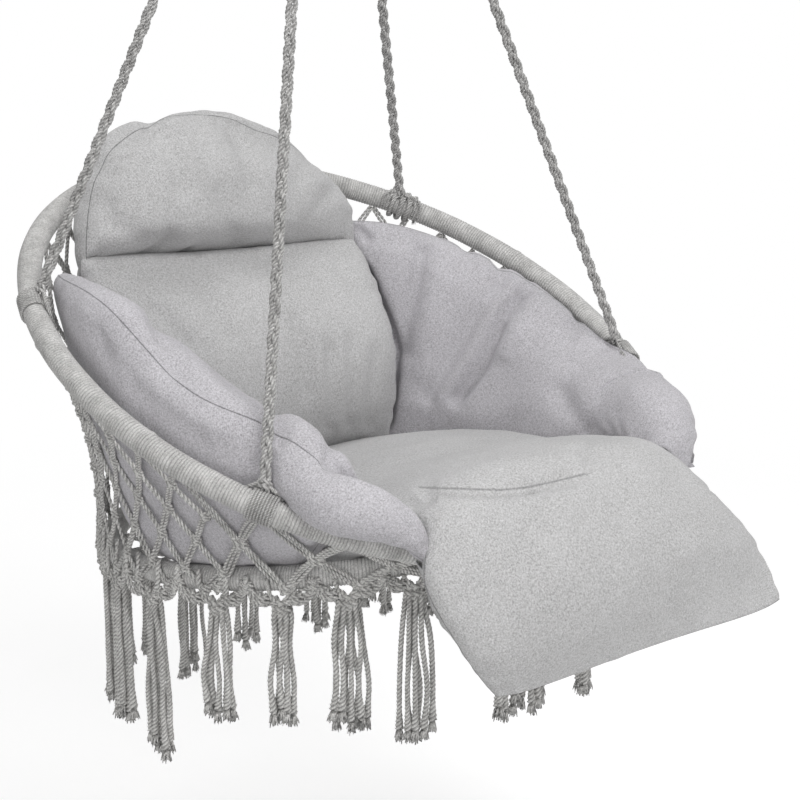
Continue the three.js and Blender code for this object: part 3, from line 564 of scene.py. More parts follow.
def make_hitch(name):
    degrees = ROPES[name][0]
    on, foot, _ = rope_ends(name)
    knot = Gather()
    tangent = hoop_tangent(UPPER, degrees)
    rise = unit(foot - on)
    start = unit(rise - (rise @ tangent) * tangent)
    side = np.cross(tangent, start)
    back = -side if side @ unit(CHAIR - on) > 0 else side
    lumpy = name == LUMPY_HITCH
    cord = LUMPY_CORD if lumpy else HITCH_CORD
    around = WRAP + (cord if lumpy else 0.6 * cord) + SEAT_GAP
    turns = LUMPY_TURNS if lumpy else [(shift, HITCH_SLANT, 0) for shift in HITCH_SHIFTS]
    for shift, slant, out in turns:
        lean = unit(tangent + slant * side)
        outward = unit(np.cross(side, lean))
        twisted_ring(knot, on + tangent * shift * MM, lean, outward, around + out * MM, cord)
    for sign, reach in product((-1, 1), HITCH_REACHES):
        aside = tangent * sign * MM
        spots = [
            foot + rise * 4 * MM + aside * 2,
            foot - rise * 3 * MM + aside * 0.45 * reach - back * 2 * MM,
            on + aside * reach + start * (around + 2.5 * MM) - back * 4 * MM,
            on + aside * (reach + 6) + (0.8 * start - 0.6 * back) * around,
            on + aside * (reach + 5) + (0.1 * start - back) * around,
        ]
        knot.cord(smooth(spots, 36), HITCH_STRAND, side, **SOFT_TWIST)
    knot_at(knot, foot - rise * 1 * MM, tangent, rise, back, 7.5 * MM, HITCH_STRAND)
    for sign in (-1, 1):
        spot = on + tangent * sign * 12 * MM + start * (around + 2.2 * MM) - back * 5 * MM
        knot_at(knot, spot, tangent, start, back, 5.5 * MM, 2.2 * MM)
    if lumpy:
        for shift, fall, aside in LUMPY_TAILS:
            low = on + tangent * shift * MM + back * (around - 2 * MM)
            tail = smooth([
                on + tangent * (shift + 4) * MM + back * around + start * 3 * MM,
                low + back * 2 * MM - UP * 0.4 * fall * MM,
                low + tangent * aside * MM - UP * fall * MM,
            ], 24)
            knot.cord(tail, TAIL_CORD, tangent, **SOFT_TWIST)
            frayed(knot, tail[-1], unit(tail[-1] - tail[-3]), *TAIL_FRAY)
    knot.piece(f"hitch_knot_{name}", ROPE, [f"rope_hitch_{name}"])


for rope_name in ROPES:
    make_rope(rope_name)

# Hoops: a close winding of thin cord, one helix round each tube
WINDING_PITCH = 3.6 * MM
WINDING_SAMPLES = 4
WINDING_SIDES = 20
WINDING_RIDGE = 1.3 * MM
RIDGE_POWER = 2.2
# How the turns lean in degrees, how often round the hoop, and from where
WINDING_SWING = ((0.12, 37, 0), (0.1, 83, 1))
# Slow waves on the winding: their height, and how often each runs round the hoop
WINDING_WAVE = 0.25 * MM
WAVE_OFTEN = (19, 7)
# Where the winding bulges, in degrees round the hoop, and by how many millimetres
WINDING_BUMPS = {
    "upper_hoop": ((-112, 1.2), (-84, 1.0), (-30, 1.0), (96, 1.1), (170, 1.0)),
    "lower_hoop": ((-70, 1.0), (60, 1.0), (180, 1.0)),
}
BUMP_DEGREES = 0.55


def make_winding(hoop, name):
    turns = round(2 * math.pi * hoop["radius"] / WINDING_PITCH)
    rings = turns * WINDING_SAMPLES
    k = np.arange(rings)[:, None]
    j = np.arange(WINDING_SIDES)[None, :]
    run = (k / WINDING_SAMPLES + j / WINDING_SIDES) / turns
    angle = run * 2 * np.pi
    swing = sum(size * np.sin(angle * often + start) for size, often, start in WINDING_SWING)
    degrees = (run * 360 + swing) % 360
    theta = 2 * np.pi * j / WINDING_SIDES
    across = 2 * (k % WINDING_SAMPLES) / WINDING_SAMPLES - 1
    ridge = np.sqrt(np.maximum(0, 1 - np.abs(across) ** RIDGE_POWER))
    wave = WINDING_WAVE * (np.sin(angle * WAVE_OFTEN[0]) * np.sin(angle * WAVE_OFTEN[1] + 2 + theta))
    radius = WRAP - WINDING_RIDGE + WINDING_RIDGE * ridge + wave
    for place, height in WINDING_BUMPS[name]:
        off = (degrees - place + 180) % 360 - 180
        radius = radius + height * MM * np.exp(-(off / BUMP_DEGREES) ** 2)
    points = hoop_point(hoop, degrees, radius * np.cos(theta), radius * np.sin(theta))
    after = (j + 1) % WINDING_SIDES
    jump = np.where(j + 1 == WINDING_SIDES, WINDING_SAMPLES, 0)
    at = lambda ring, side: (ring % rings) * WINDING_SIDES + side
    quads = np.stack([at(k, j), at(k + 1, j), at(k + 1 + jump, after), at(k + jump, after)], -1)
    mesh = mesh_of(name, points.reshape(-1, 3), [quads.reshape(-1, 4)])
    # The ridge number also darkens the winding's colour between its turns: painted shade.
    point_attribute(mesh, "ridge", np.broadcast_to(ridge, points.shape[:2]).ravel())
    dress(new_object(f"{name}_winding", mesh), WINDING, numbered(f"{name}_wrap", 4))


make_winding(UPPER, "upper_hoop")
make_winding(LOWER, "lower_hoop")
for material, nodes in (
    (PAINT, ("upper_hoop_tube", "lower_hoop_tube")),
    (STEEL, ("swivel_eye", "swivel_hook", "hook_gate", "gate_pin", "hang_ring")),
):
    for node in nodes:
        paint(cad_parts[node], material)

# The net: pairs of cords that meet in knots, from the lower hoop to the upper one
NET_CORD = 2.3 * MM
NET_TWIST = {"plies": 2, "lay": 2.8}
CORD_SPACING = 2.0 * NET_CORD
CORD_SAG = 1.0 * MM
# How close a run's cords lie at its two knots, as a share of their spacing
CORD_PINCH = 0.55
CORD_SAMPLES = 24
NET_COLUMNS = 36
NET_TURN = -2.5
NET_ROWS = np.array([0, 27, 71, 115, 159, 203, 247, 291, 335, 379, 423, 467]) * MM
NET_WAIST = 29 * MM
WAIST_POWER = 0.85
# How far the net lies outside the lower winding and under the upper one
WALL_OUTSIDE = 3.0 * MM
WALL_UNDER = 1.0 * MM
KNOT = 6.4 * MM
KNOT_CORD = NET_CORD * 1.12
KNOT_TWIST = {"sides": 8, "groove": 0.28, **NET_TWIST}
# A knot's crossing passes: how far they lean over, bulge out, and lie below the wall
KNOT_CROSS = 0.62
KNOT_BULGE = 2.4 * MM
KNOT_SUNK = 1.0 * MM
# Its bands: height in knot sizes and lift in millimetres, half width, and how far they
# bend, lie above the passes and tuck in at their ends
KNOT_BANDS = ((0.42, 2.2), (-0.42, 2.6))
BAND_REACH = 0.95
BAND_BEND = 0.35
BAND_ABOVE = 0.6 * MM
BAND_TUCK = 2.6 * MM
NET_TOP = 0.97
FRONT_ANGLES = (-77, 73)
FRONT_STEP = 15
FRONT_FIRST = 5.5
FRONT_CORDS = 3
FRONT_SHARE = 0.47


def wall(degrees, share):
    """The net's wall: outside the lower hoop (0) to under the upper one (1)."""
    degrees = np.asarray(degrees, float)
    top = hoop_point(UPPER, degrees)
    foot = hoop_point(LOWER, degrees)
    rise = top - foot
    aside = unit(np.cross(hoop_tangent(LOWER, degrees), rise))
    foot = foot + aside * (WRAP + WALL_OUTSIDE)
    down = foot - top
    top = top + unit(down) * (WRAP + WALL_UNDER)
    share = np.asarray(share, float)[..., None]
    out = np.stack([np.sin(np.radians(degrees)), -np.cos(np.radians(degrees)), 0 * degrees], -1)
    reach = np.linalg.norm(down, axis=-1, keepdims=True)
    at_sides = np.abs(np.sin(np.radians(degrees)))[..., None]
    waist = NET_WAIST * at_sides * np.sin(np.pi * np.clip(share, 0, 1) ** WAIST_POWER)
    return foot + (top - foot) * share - out * waist * reach / UPPER["radius"]


def wall_ways(degrees, share):
    """The ways along the wall, up it and out of it."""
    right = unit(wall(degrees + 0.3, share) - wall(degrees - 0.3, share))
    up = unit(wall(degrees, share + 0.01) - wall(degrees, share - 0.01))
    return right, up, unit(np.cross(right, up))


def wall_reach(degrees):
    return float(np.linalg.norm(wall(degrees, 1.0) - wall(degrees, 0.0)))


def run_of_cords(gather, start, end, cords=2):
    """Cords side by side on the wall between two places, each (degrees, share)."""
    t = np.linspace(0, 1, CORD_SAMPLES)
    degrees = start[0] + (end[0] - start[0]) * t
    share = start[1] + (end[1] - start[1]) * t
    line = wall(degrees, share)
    normal = wall_ways(degrees, share)[2]
    side = unit(np.cross(unit(np.gradient(line, axis=0)), normal))
    fan = CORD_PINCH + (1 - CORD_PINCH) * np.sin(np.pi * t)
    for k in range(cords):
        shift = (k - (cords - 1) / 2) * CORD_SPACING * fan + random.uniform(-0.3, 0.3) * MM
        out = CORD_SAG * np.sin(np.pi * t) * random.uniform(-1, 1) + random.uniform(0, 0.5) * MM
        path = line + side * shift[:, None] + normal * out[:, None]
        size = NET_CORD * random.uniform(0.94, 1.06)
        gather.cord(path, size, normal, sides=8, groove=0.3, phase=random.uniform(0, 6), **NET_TWIST)


def knot_at(gather, at, right, up, normal, size=KNOT, cord=KNOT_CORD):
    """A square knot: two crossing passes and two bands over them, bulging outwards."""
    t = np.linspace(-1, 1, 10)
    for sign in (-1, 1):
        path = at + np.outer(t * size * KNOT_CROSS, right) * sign + np.outer(t * size, up)
        path = path + np.outer((1 - t**2) * KNOT_BULGE - KNOT_SUNK, normal)
        gather.cord(path, cord, normal, **KNOT_TWIST)
    for height, lift in KNOT_BANDS:
        bend = size * height * (1 - BAND_BEND * t**2)
        path = at + np.outer(t * size * BAND_REACH, right) + np.outer(bend, up)
        path = path + np.outer((1 - t**2) * lift * MM + BAND_ABOVE - BAND_TUCK * t**4, normal)
        gather.cord(path, cord, up, **KNOT_TWIST)


def knot_on_wall(gather, degrees, share, size=KNOT):
    right, up, normal = wall_ways(degrees, share)
    turn = random.uniform(-0.25, 0.25)
    knot_at(gather, wall(degrees, share), unit(right + turn * up), unit(up - turn * right), normal,
            size * random.uniform(0.92, 1.08))


def make_side_net():
    net = Gather()
    step = 360 / NET_COLUMNS
    in_front = lambda degrees: FRONT_ANGLES[0] < degrees < FRONT_ANGLES[1]
    for row, k in product(range(len(NET_ROWS) - 1), range(NET_COLUMNS)):
        degrees = -180 + NET_TURN + (k + 0.5 * (row % 2)) * step
        share = NET_ROWS[row] / wall_reach(degrees)
        if in_front(degrees) or share > NET_TOP:
            continue
        knot_on_wall(net, degrees, share)
        for side in (-0.5, 0.5):
            other = degrees + side * step
            if in_front(other):
                continue
            top = NET_ROWS[row + 1] / wall_reach(other)
            part = min(1, (1 - share) / max(top - share, 1e-6))
            end = (degrees + side * step * part, share + (top - share) * part)
            run_of_cords(net, (degrees, share), end)
    for degrees in np.arange(FRONT_ANGLES[0] + FRONT_FIRST, FRONT_ANGLES[1], FRONT_STEP):
        knot_on_wall(net, degrees, FRONT_SHARE, 1.5 * KNOT)
        for side in (-0.5, 0.5):
            foot = degrees + side * FRONT_STEP
            knot_on_wall(net, foot, 0.02, 1.2 * KNOT)
            run_of_cords(net, (degrees, FRONT_SHARE), (foot, 1.0), FRONT_CORDS)
            run_of_cords(net, (foot, 0.0), (degrees, FRONT_SHARE), FRONT_CORDS)
    net.piece("knotted_side_net", CORD, numbered("side_net", 8))


make_side_net()
for rope_name in ROPES:
    make_hitch(rope_name)

# Scallops and tassels under the lower hoop
TASSEL_DROP = 34 * MM
TASSEL_LENGTH = 196 * MM
TASSEL_CORD = 3.6 * MM
TASSEL_STEP = 2.2 * MM
FRAY = 24 * MM
SWAG_CORD = 2.6 * MM
SWAG_SPACING = 4.4 * MM
# The long and the short scallops: their share of the half step, and their cords
SWAG_LONG, SWAG_SHORT = (1, 4), (0.4, 2)
TASSEL_CORDS = (6, 8)
TASSEL_SPACING = 5.0 * MM
TASSEL_STRAY = 0.2
STRAY_ASIDE = 9 * MM
FRAY_LENGTH = 13 * MM
FRAY_FIBRES = 24
# Where the tassels hang, and how long each is as a share of TASSEL_LENGTH
TASSELS = [
    (-168, 0.90), (-154, 0.80), (-140, 0.84), (-129, 0.79), (-116, 0.83), (-99, 0.93), (-80, 0.64),
    (-65, 0.66), (-51, 0.71), (-37, 0.85), (-15, 0.87), (-5, 0.91), (20, 1.09), (38, 0.92), (56, 1.00),
    (74, 0.92), (91, 1.02), (108, 1.08), (123, 1.04), (139, 1.13), (159, 1.12), (177, 1.16),
]


def rim_spot(degrees, drop, out=8 * MM):
    return hoop_point(LOWER, degrees, out) - UP * drop


def make_fringe():
    swags, tassels = Gather(), Gather()
    for k, (degrees, share) in enumerate(TASSELS):
        before, after = TASSELS[k - 1][0], TASSELS[(k + 1) % len(TASSELS)][0]
        before, after = before - 360 * (k == 0), after + 360 * (k == len(TASSELS) - 1)
        head = rim_spot(degrees, TASSEL_DROP)
        outward = unit(head - (CHAIR - UP * TASSEL_DROP))
        right = np.cross(outward, UP)
        for (part, cords), near in product((SWAG_LONG, SWAG_SHORT), (before, after)):
            reach = part * (near - degrees) / 2
            start = degrees + reach
            for n in range(cords):
                shift = (n - (cords - 1) / 2) * SWAG_SPACING
                bulge = (13 + random.uniform(-2, 2)) * MM
                path = smooth([
                    wall(start, 0.13),
                    wall(start - 0.1 * reach, -0.02) + UP * shift * 0.6 + outward * 2.5 * MM,
                    rim_spot(start - 0.45 * reach, 0.62 * TASSEL_DROP - shift, bulge),
                    head + right * np.sign(reach) * -3 * MM + UP * (5 * MM - shift * 0.7),
                ], 40)
                path = path + random.uniform(-0.8, 0.8, 3) * MM
                phase = random.uniform(0, 6)
                swags.cord(path, SWAG_CORD, outward, sides=8, plies=2, phase=phase, **SOFT_TWIST)
            if cords == SWAG_LONG[1]:
                for place in (0.04, 0.5):
                    spot = rim_spot(start - place * reach, (0.1 + place) * TASSEL_DROP, 15 * MM)
                    knot_at(swags, spot, right, UP, outward, 1.15 * KNOT, SWAG_CORD)
        for spot, size in ((head + UP * 4 * MM + outward * 3 * MM, 1.7), (head - UP * 3 * MM, 1.3)):
            knot_at(swags, spot, right, UP, outward, size * KNOT, SWAG_CORD * 1.15)
        hang_tassel(tassels, head, outward, right, share)
    swags.piece("scalloped_cords", CORD)
    tassels.piece("tassels", CORD, numbered("fringe", 12))


def hang_tassel(gather, head, outward, right, share):
    """Twisted cords side by side, each with a flared, frayed end."""
    count = int(random.integers(TASSEL_CORDS[0], TASSEL_CORDS[1] + 1))
    for n in range(count):
        place = n - (count - 1) / 2
        stray = random.uniform() < TASSEL_STRAY
        deep = (n % 2 - 0.5) * 7 * MM + random.uniform(-1, 1) * MM
        aside = place * TASSEL_SPACING * random.uniform(0.75, 1.25) + STRAY_ASIDE * np.sign(place) * stray
        length = TASSEL_LENGTH * share * random.uniform(0.93, 1.04)
        sway = random.uniform(-4, 4) * MM * (2.2 if stray else 1)
        spots = (
            (3.0 * MM * place, 0.5 * deep, -4 * MM),
            (3.6 * MM * place, deep, 14 * MM),
            (0.85 * aside + sway, deep, 0.36 * length),
            (1.05 * aside - 0.5 * sway, 1.2 * deep, 0.70 * length),
            (aside + 0.6 * sway, 1.2 * deep, length),
        )
        path = [head + right * across + outward * out - UP * drop for across, out, drop in spots]
        path = smooth(path, int(length / TASSEL_STEP))
        left = along(path)[-1] - along(path)
        swell = 1 + 0.6 * np.clip(1 - left / FRAY, 0, 1) ** 1.2
        size = TASSEL_CORD * random.uniform(0.9, 1.08)
        phase = random.uniform(0, 6)
        gather.cord(path, size, outward, sides=10, lay=2.1, groove=0.34, phase=phase, swell=swell)
        end = path[-1] - UP * 3 * MM
        frayed(gather, end, unit(path[-1] - path[-3]), 1.5 * size, FRAY_LENGTH, FRAY_FIBRES)


make_fringe()

# The net that closes the lower hoop
SEAT_SAG = 34 * MM
SEAT_HOLE = 32 * MM
SEAT_COLUMNS = 24
SEAT_ROWS = 6
# The seat net's knots at the rim, and how much smaller they are round the hole
SEAT_KNOT = 0.9 * KNOT
INNER_KNOT = 0.6


def floor_spot(degrees, share):
    rim = LOWER["radius"] - WRAP - 2.4 * MM
    reach = SEAT_HOLE + (rim - SEAT_HOLE) * np.asarray(share, float)
    sag = SEAT_SAG * (1 - (reach / rim) ** 2)
    return hoop_point(LOWER, np.asarray(degrees, float), reach - LOWER["radius"], -sag)


def make_seat_net():
    net = Gather()
    step = 360 / SEAT_COLUMNS
    t = np.linspace(0, 1, CORD_SAMPLES)
    for row, k in product(range(SEAT_ROWS), range(SEAT_COLUMNS)):
        share = row / SEAT_ROWS
        degrees = (k + 0.5 * (row % 2)) * step
        right = unit(floor_spot(degrees + 1, share) - floor_spot(degrees - 1, share))
        up = unit(floor_spot(degrees, share + 0.01) - floor_spot(degrees, share - 0.01))
        normal = np.cross(right, up)
        size = SEAT_KNOT * (INNER_KNOT + (1 - INNER_KNOT) * share)
        knot_at(net, floor_spot(degrees, share), right, up, normal, size)
        for side in (-0.5, 0.5):
            line = floor_spot(degrees + side * step * t, share + t / SEAT_ROWS)
            across = unit(np.cross(unit(np.gradient(line, axis=0)), normal))
            for shift in (-NET_CORD, NET_CORD):
                net.cord(line + across * shift, NET_CORD, normal, sides=7, groove=0.3,
                         phase=random.uniform(0, 6), **NET_TWIST)
    a = np.linspace(0, 360, 97)
    net.add(strand(floor_spot(a, 0 * a), 1.5 * NET_CORD, UP), ends=False)
    net.piece("knotted_seat_net", CORD, ["seat_net"])


make_seat_net()

# Cushions: a crowned sheet between a left and a right edge, given at stations as
# shares of the upper hoop's radius: left x, y, z, right x, y, z, arch, thickness
SHARE = UPPER["radius"]
FOLD_SHARES = [-0.63, -0.72, 0.28, 0.46, -0.87, 0.20]
CUSHION_SHARES = {
    "pad": [
        [-0.54, 0.48, -0.01, 0.56, 0.34, -0.03, 0.02, 0.22],
        [-0.62, 0.04, 0.02, 0.62, -0.16, 0.05, 0.03, 0.26],
        [-0.63, -0.36, 0.12, 0.58, -0.52, 0.095, 0.02, 0.25],
        [*FOLD_SHARES, 0.01, 0.21],
        [-0.735, -0.83, 0.17, 0.50, -1.02, 0.09, 0.02, 0.25],
        [-0.695, -0.92, 0.00, 0.57, -1.14, -0.07, 0.03, 0.25],
        [-0.59, -0.97, -0.19, 0.58, -1.25, -0.22, 0.00, 0.14],
    ],
    "back": [
        [-0.52, 0.42, -0.03, 0.56, 0.26, -0.01, 0.04, 0.30],
        [-0.56, 0.50, 0.28, 0.60, 0.29, 0.30, 0.05, 0.44],
        [-0.57, 0.57, 0.54, 0.62, 0.38, 0.50, 0.05, 0.42],
        [-0.55, 0.62, 0.82, 0.62, 0.46, 0.68, 0.04, 0.30],
    ],
    "head": [
        [-0.52, 0.57, 0.60, 0.64, 0.48, 0.58, 0.03, 0.34],
        [-0.50, 0.61, 0.84, 0.64, 0.55, 0.78, 0.05, 0.40],
        [-0.38, 0.66, 1.05, 0.47, 0.58, 0.97, 0.05, 0.35],
        [-0.19, 0.65, 1.16, 0.15, 0.59, 1.13, 0.03, 0.20],
    ],
}
# Wings: angle, how far in the foot and the crest lie, the foot's height over the
# lower hoop, the crest's over the upper one, the arch towards the net and the thickness
WING_SHARES = {
    "left_wing": [
        [-143, 0.24, 0.20, 0.06, -0.07, -0.04, 0.16], [-126, 0.14, 0.06, 0.09, 0.06, -0.06, 0.26],
        [-104, 0.08, 0.02, 0.13, 0.175, -0.06, 0.31], [-82, 0.06, -0.01, 0.14, 0.13, -0.06, 0.32],
        [-64, 0.04, 0.01, 0.11, 0.165, -0.04, 0.29], [-52, -0.197, 0.205, 0.03, 0.155, 0.02, 0.24],
        [-44, -0.275, 0.15, -0.01, 0.085, 0.03, 0.18], [-38.5, -0.30, 0.07, -0.04, 0.005, 0.01, 0.12],
    ],
    "right_wing": [
        [142, 0.24, 0.20, 0.10, -0.08, 0.04, 0.16], [122, 0.14, 0.06, 0.15, 0.00, 0.06, 0.27],
        [101, 0.08, -0.03, 0.13, 0.02, 0.06, 0.31], [82, 0.09, -0.07, 0.08, 0.02, 0.05, 0.31],
        [66, 0.07, -0.03, 0.02, 0.01, 0.02, 0.28], [54, -0.04, 0.00, -0.05, 0.01, -0.06, 0.22],
        [43, -0.10, 0.08, -0.12, 0.01, -0.09, 0.17], [30, -0.16, 0.03, -0.10, -0.03, -0.01, 0.10],
    ],
}
# Along a wing, where its cloth stops lying against the net and lies over the hoop
OVER_HOOP = (0.58, 0.80)
SOFT_GAP = 1.2 * MM
# How round a cushion's edge is, how far its sides and corners draw in, how much
# closer its grid lies at the edges, and how much thinner it starts before it fills
EDGE_ROUND = 0.42
DRAW_IN = 0.04
CORNER_DRAW = 0.055
CORNER_POWER = 5
EDGE_SHARE = 0.55
THIN = 0.92
LEAST_THICK = 16 * MM
# How far apart the places lie that a sheet's slopes are taken from
TINY = 1e-3
NEAR = 0.02


def stations_of(name):
    """Rows of left point, right point, arch and thickness, and how far the sides draw in."""
    if name in CUSHION_SHARES:
        rows = np.array(CUSHION_SHARES[name]) * SHARE
        rows[:, 0:3] += CHAIR
        rows[:, 3:6] += CHAIR
        return rows, 0 if name == "head" else DRAW_IN
    rows = []
    for degrees, *shares in WING_SHARES[name]:
        foot_in, foot_up, crest_in, crest_up, arch, thick = np.array(shares) * SHARE
        foot = hoop_point(LOWER, degrees, -foot_in) + UP * foot_up
        crest = hoop_point(UPPER, degrees, -crest_in) + UP * crest_up
        ends = (foot, crest) if name == "left_wing" else (crest, foot)
        rows.append([*ends[0], *ends[1], arch, thick])
    return np.array(rows), 0


def mid_sheet(rows, draw_in, u, v):
    a, b = 2 * u - 1, 2 * v - 1
    corner = 1 - CORNER_DRAW * np.abs(a * b) ** CORNER_POWER
    in_u = 0.5 + 0.5 * a * corner * (1 - draw_in * (1 - b * b))
    in_v = 0.5 + 0.5 * b * corner * (1 - draw_in * (1 - a * a))
    row = spline(rows, in_v)
    left, right, arch = row[..., 0:3], row[..., 3:6], row[..., 6:7]
    way = spline(rows, in_v + NEAR)[..., 3:6] - spline(rows, in_v - NEAR)[..., 3:6]
    lift = unit(np.cross(way, unit(right - left)))
    return left + (right - left) * in_u[..., None] + lift * arch * (4 * in_u * (1 - in_u))[..., None]


def runs(sheet):
    """How far each point lies from a sheet's first edge along its rows and its columns."""
    a, b = np.zeros(sheet.shape[:2]), np.zeros(sheet.shape[:2])
    a[1:] = np.cumsum(np.linalg.norm(np.diff(sheet, axis=0), axis=-1), axis=0)
    b[:, 1:] = np.cumsum(np.linalg.norm(np.diff(sheet, axis=1), axis=-1), axis=1)
    return a, b


def from_seams(a, b):
    """How far each point lies from each of the four seams, and how far along it."""
    return [(a, b), (a[-1:] - a, b), (b, a), (b[:, -1:] - b, a)]


class Pillow:
    """Two sheets sewn at their edges, as a grid that keeps its own order."""

    def __init__(self, name, across, length):
        rows, draw_in = stations_of(name)
        self.name, self.nu, self.nv = name, across, length
        ease = lambda t: (1 - EDGE_SHARE) * t + EDGE_SHARE * (0.5 - 0.5 * np.cos(np.pi * t))
        places = [ease(np.linspace(0, 1, count + 1)) for count in (across, length)]
        u, v = self.u, self.v = np.meshgrid(*places, indexing="ij")
        clip = lambda t: np.clip(t, 0, 1)
        middle = mid_sheet(rows, draw_in, u, v)
        du = mid_sheet(rows, draw_in, clip(u + TINY), v) - mid_sheet(rows, draw_in, clip(u - TINY), v)
        dv = mid_sheet(rows, draw_in, u, clip(v + TINY)) - mid_sheet(rows, draw_in, u, clip(v - TINY))
        normal = unit(np.cross(dv, du))
        crown = np.maximum(16 * u * (1 - u) * v * (1 - v), 0) ** EDGE_ROUND
        half = spline(rows, v)[..., 7] / 2 * crown * THIN
        self.top = middle + normal * half[..., None]
        self.bottom = middle - normal * half[..., None]
        self.run = np.stack(runs(middle), -1)

    def edge(self):
        m = np.zeros(self.top.shape[:2], bool)
        m[[0, -1]] = True
        m[:, [0, -1]] = True
        return m

    def seam_places(self):
        return from_seams(self.run[..., 0], self.run[..., 1])

    def indices(self):
        n = (self.nu + 1) * (self.nv + 1)
        top = np.arange(n).reshape(self.nu + 1, self.nv + 1)
        bottom = top.copy()
        inner = ~self.edge()
        bottom[inner] = n + np.arange(inner.sum())
        return top, bottom, inner

    def flat_points(self):
        return np.concatenate([self.top.reshape(-1, 3), self.bottom[self.indices()[2]]])

    def faces(self):
        top, bottom, _ = self.indices()
        quad = lambda g: np.stack([g[:-1, :-1], g[1:, :-1], g[1:, 1:], g[:-1, 1:]], -1).reshape(-1, 4)
        return [quad(top)[:, ::-1], quad(bottom)]

    def mesh(self, name):
        return mesh_of(name, self.flat_points(), self.faces())

    def refine(self):
        """Twice as many squares each way, by a smooth curve through the old points."""
        def double(g, axis):
            g = np.moveaxis(g, axis, 0)
            before = np.concatenate([[2 * g[0] - g[1]], g[:-1]])
            ahead = np.concatenate([g[1:], [2 * g[-1] - g[-2]]])
            beyond = np.concatenate([ahead[1:], [2 * ahead[-1] - ahead[-2]]])
            half = (-before + 9 * g + 9 * ahead - beyond)[:-1] / 16
            out = np.empty((2 * len(g) - 1, *g.shape[1:]))
            out[::2], out[1::2] = g, half
            return np.moveaxis(out, 0, axis)
        for key in ("top", "bottom", "run", "u", "v"):
            setattr(self, key, double(double(getattr(self, key), 0), 1))
        self.nu, self.nv = 2 * self.nu, 2 * self.nv
        edge = self.edge()
        self.bottom[edge] = self.top[edge]

    def normals(self):
        def of(g, sign):
            du, dv = np.gradient(g, axis=0), np.gradient(g, axis=1)
            return sign * unit(np.cross(dv, du))
        top, bottom = of(self.top, 1), of(self.bottom, -1)
        edge = self.edge()
        both = unit(top + bottom)
        top[edge], bottom[edge] = both[edge], both[edge]
        return top, bottom

    def lift(self):
        """Unit steps from the bottom sheet to the top one."""
        middle = (self.top + self.bottom) / 2
        return unit(np.cross(np.gradient(middle, axis=1), np.gradient(middle, axis=0)))


def mean_around(grid):
    return (grid[:-2, 1:-1] + grid[2:, 1:-1] + grid[1:-1, :-2] + grid[1:-1, 2:]) / 4


def eased(grid, rounds):
    """A grid of numbers or vectors evened out, with its edge kept."""
    for _ in range(rounds):
        inner = mean_around(grid)
        grid = grid.copy()
        grid[1:-1, 1:-1] = inner
    return grid


def spread(push, rounds=10, keep=0.93):
    """A push that eases off round the places where it is needed."""
    for _ in range(rounds):
        push = np.maximum(push, keep * mean_around(np.pad(push, 1, mode="edge")))
    return push


def push_over(points, way, nearest, radius, reach):
    """How far each point goes along its way to lie clear of a round bar."""
    far = np.zeros(points.shape[:-1])
    for _ in range(3):
        off = nearest(points + way * far[..., None]) - points
        run = (off * way).sum(-1)
        aside = np.maximum((off**2).sum(-1) - run**2, 0)
        need = run + np.sqrt(np.maximum(radius**2 - aside, 0))
        hit = (aside < radius**2) & (need > 0) & (need < reach)
        far = np.where(hit, need, 0)
    return far


def nearest_on_hoop(hoop):
    def find(points):
        rel = points - hoop["at"]
        normal = hoop_normal(hoop)
        flat = rel - (rel @ normal)[..., None] * normal
        return hoop["at"] + unit(flat) * hoop["radius"]
    return find


def nearest_on_line(start, end):
    way = end - start

    def find(points):
        t = np.clip(((points - start) @ way) / (way @ way), 0, 1)
        return start + t[..., None] * way
    return find


BARS = [(nearest_on_hoop(h), WRAP) for h in (UPPER, LOWER)]
for place, _ in ROPES.values():
    hitch = [hoop_point(UPPER, place + side * HITCH_HALF_ANGLE) for side in (-1, 1)]
    BARS.append((nearest_on_line(*hitch), HITCH_OUTSIDE - 3 * MM))
ROPE_BARS = [(nearest_on_line(rope_ends(n)[1], rope_ends(n)[2]), ROPE_RADIUS + 1.5 * MM) for n in ROPES]
BAR_REACH = 95 * MM
ROPE_REACH = 40 * MM
# How many squares a push spreads over, and how much of it each one keeps
HOOP_SPREAD = (4, 0.85)
ROPE_SPREAD = (4, 0.8)
NET_SPREAD = (4, 0.9)
PAD_SPREAD = (8, 0.94)


def basket_tree():
    """The inner face of the net and the floor, as triangles that face inwards."""
    degrees = np.linspace(-180, 180, 121)
    shares = np.linspace(0, 1, 13)
    side = np.stack([wall(degrees, np.full_like(degrees, s)) for s in shares])
    floor = np.stack([floor_spot(degrees, s + 0 * degrees) for s in np.linspace(0, 1, 9)])
    floor[-1] = side[0]
    grid = np.concatenate([floor, side[1:]])
    rings, count = grid.shape[:2]
    corners = [r * count + c for r, c in product(range(rings - 1), range(count - 1))]
    faces = [(k, k + count, k + 1 + count, k + 1) for k in corners]
    return BVHTree.FromPolygons([tuple(p) for p in grid.reshape(-1, 3)], faces)


BASKET = basket_tree()
NET_ROOM = NET_CORD + 3.2 * MM
NET_REACH = 0.09


def inside_basket(points, gap):
    """Points pushed in from the net, where they lie below the upper hoop."""
    shape = points.shape
    points = points.reshape(-1, 3).copy()
    rel = points - UPPER["at"]
    height = rel @ hoop_normal(UPPER)
    below = height < -0.2 * WRAP
    reach = np.linalg.norm(rel - np.outer(height, hoop_normal(UPPER)), axis=1)
    for k in np.nonzero(below & (reach < UPPER["radius"] + 60 * MM))[0]:
        place, normal = BASKET.find_nearest(Vector(points[k]), NET_REACH)[:2]
        if place is not None and (Vector(points[k]) - place).dot(normal) < gap:
            points[k] = np.array(place + normal * gap)
    return points.reshape(shape)


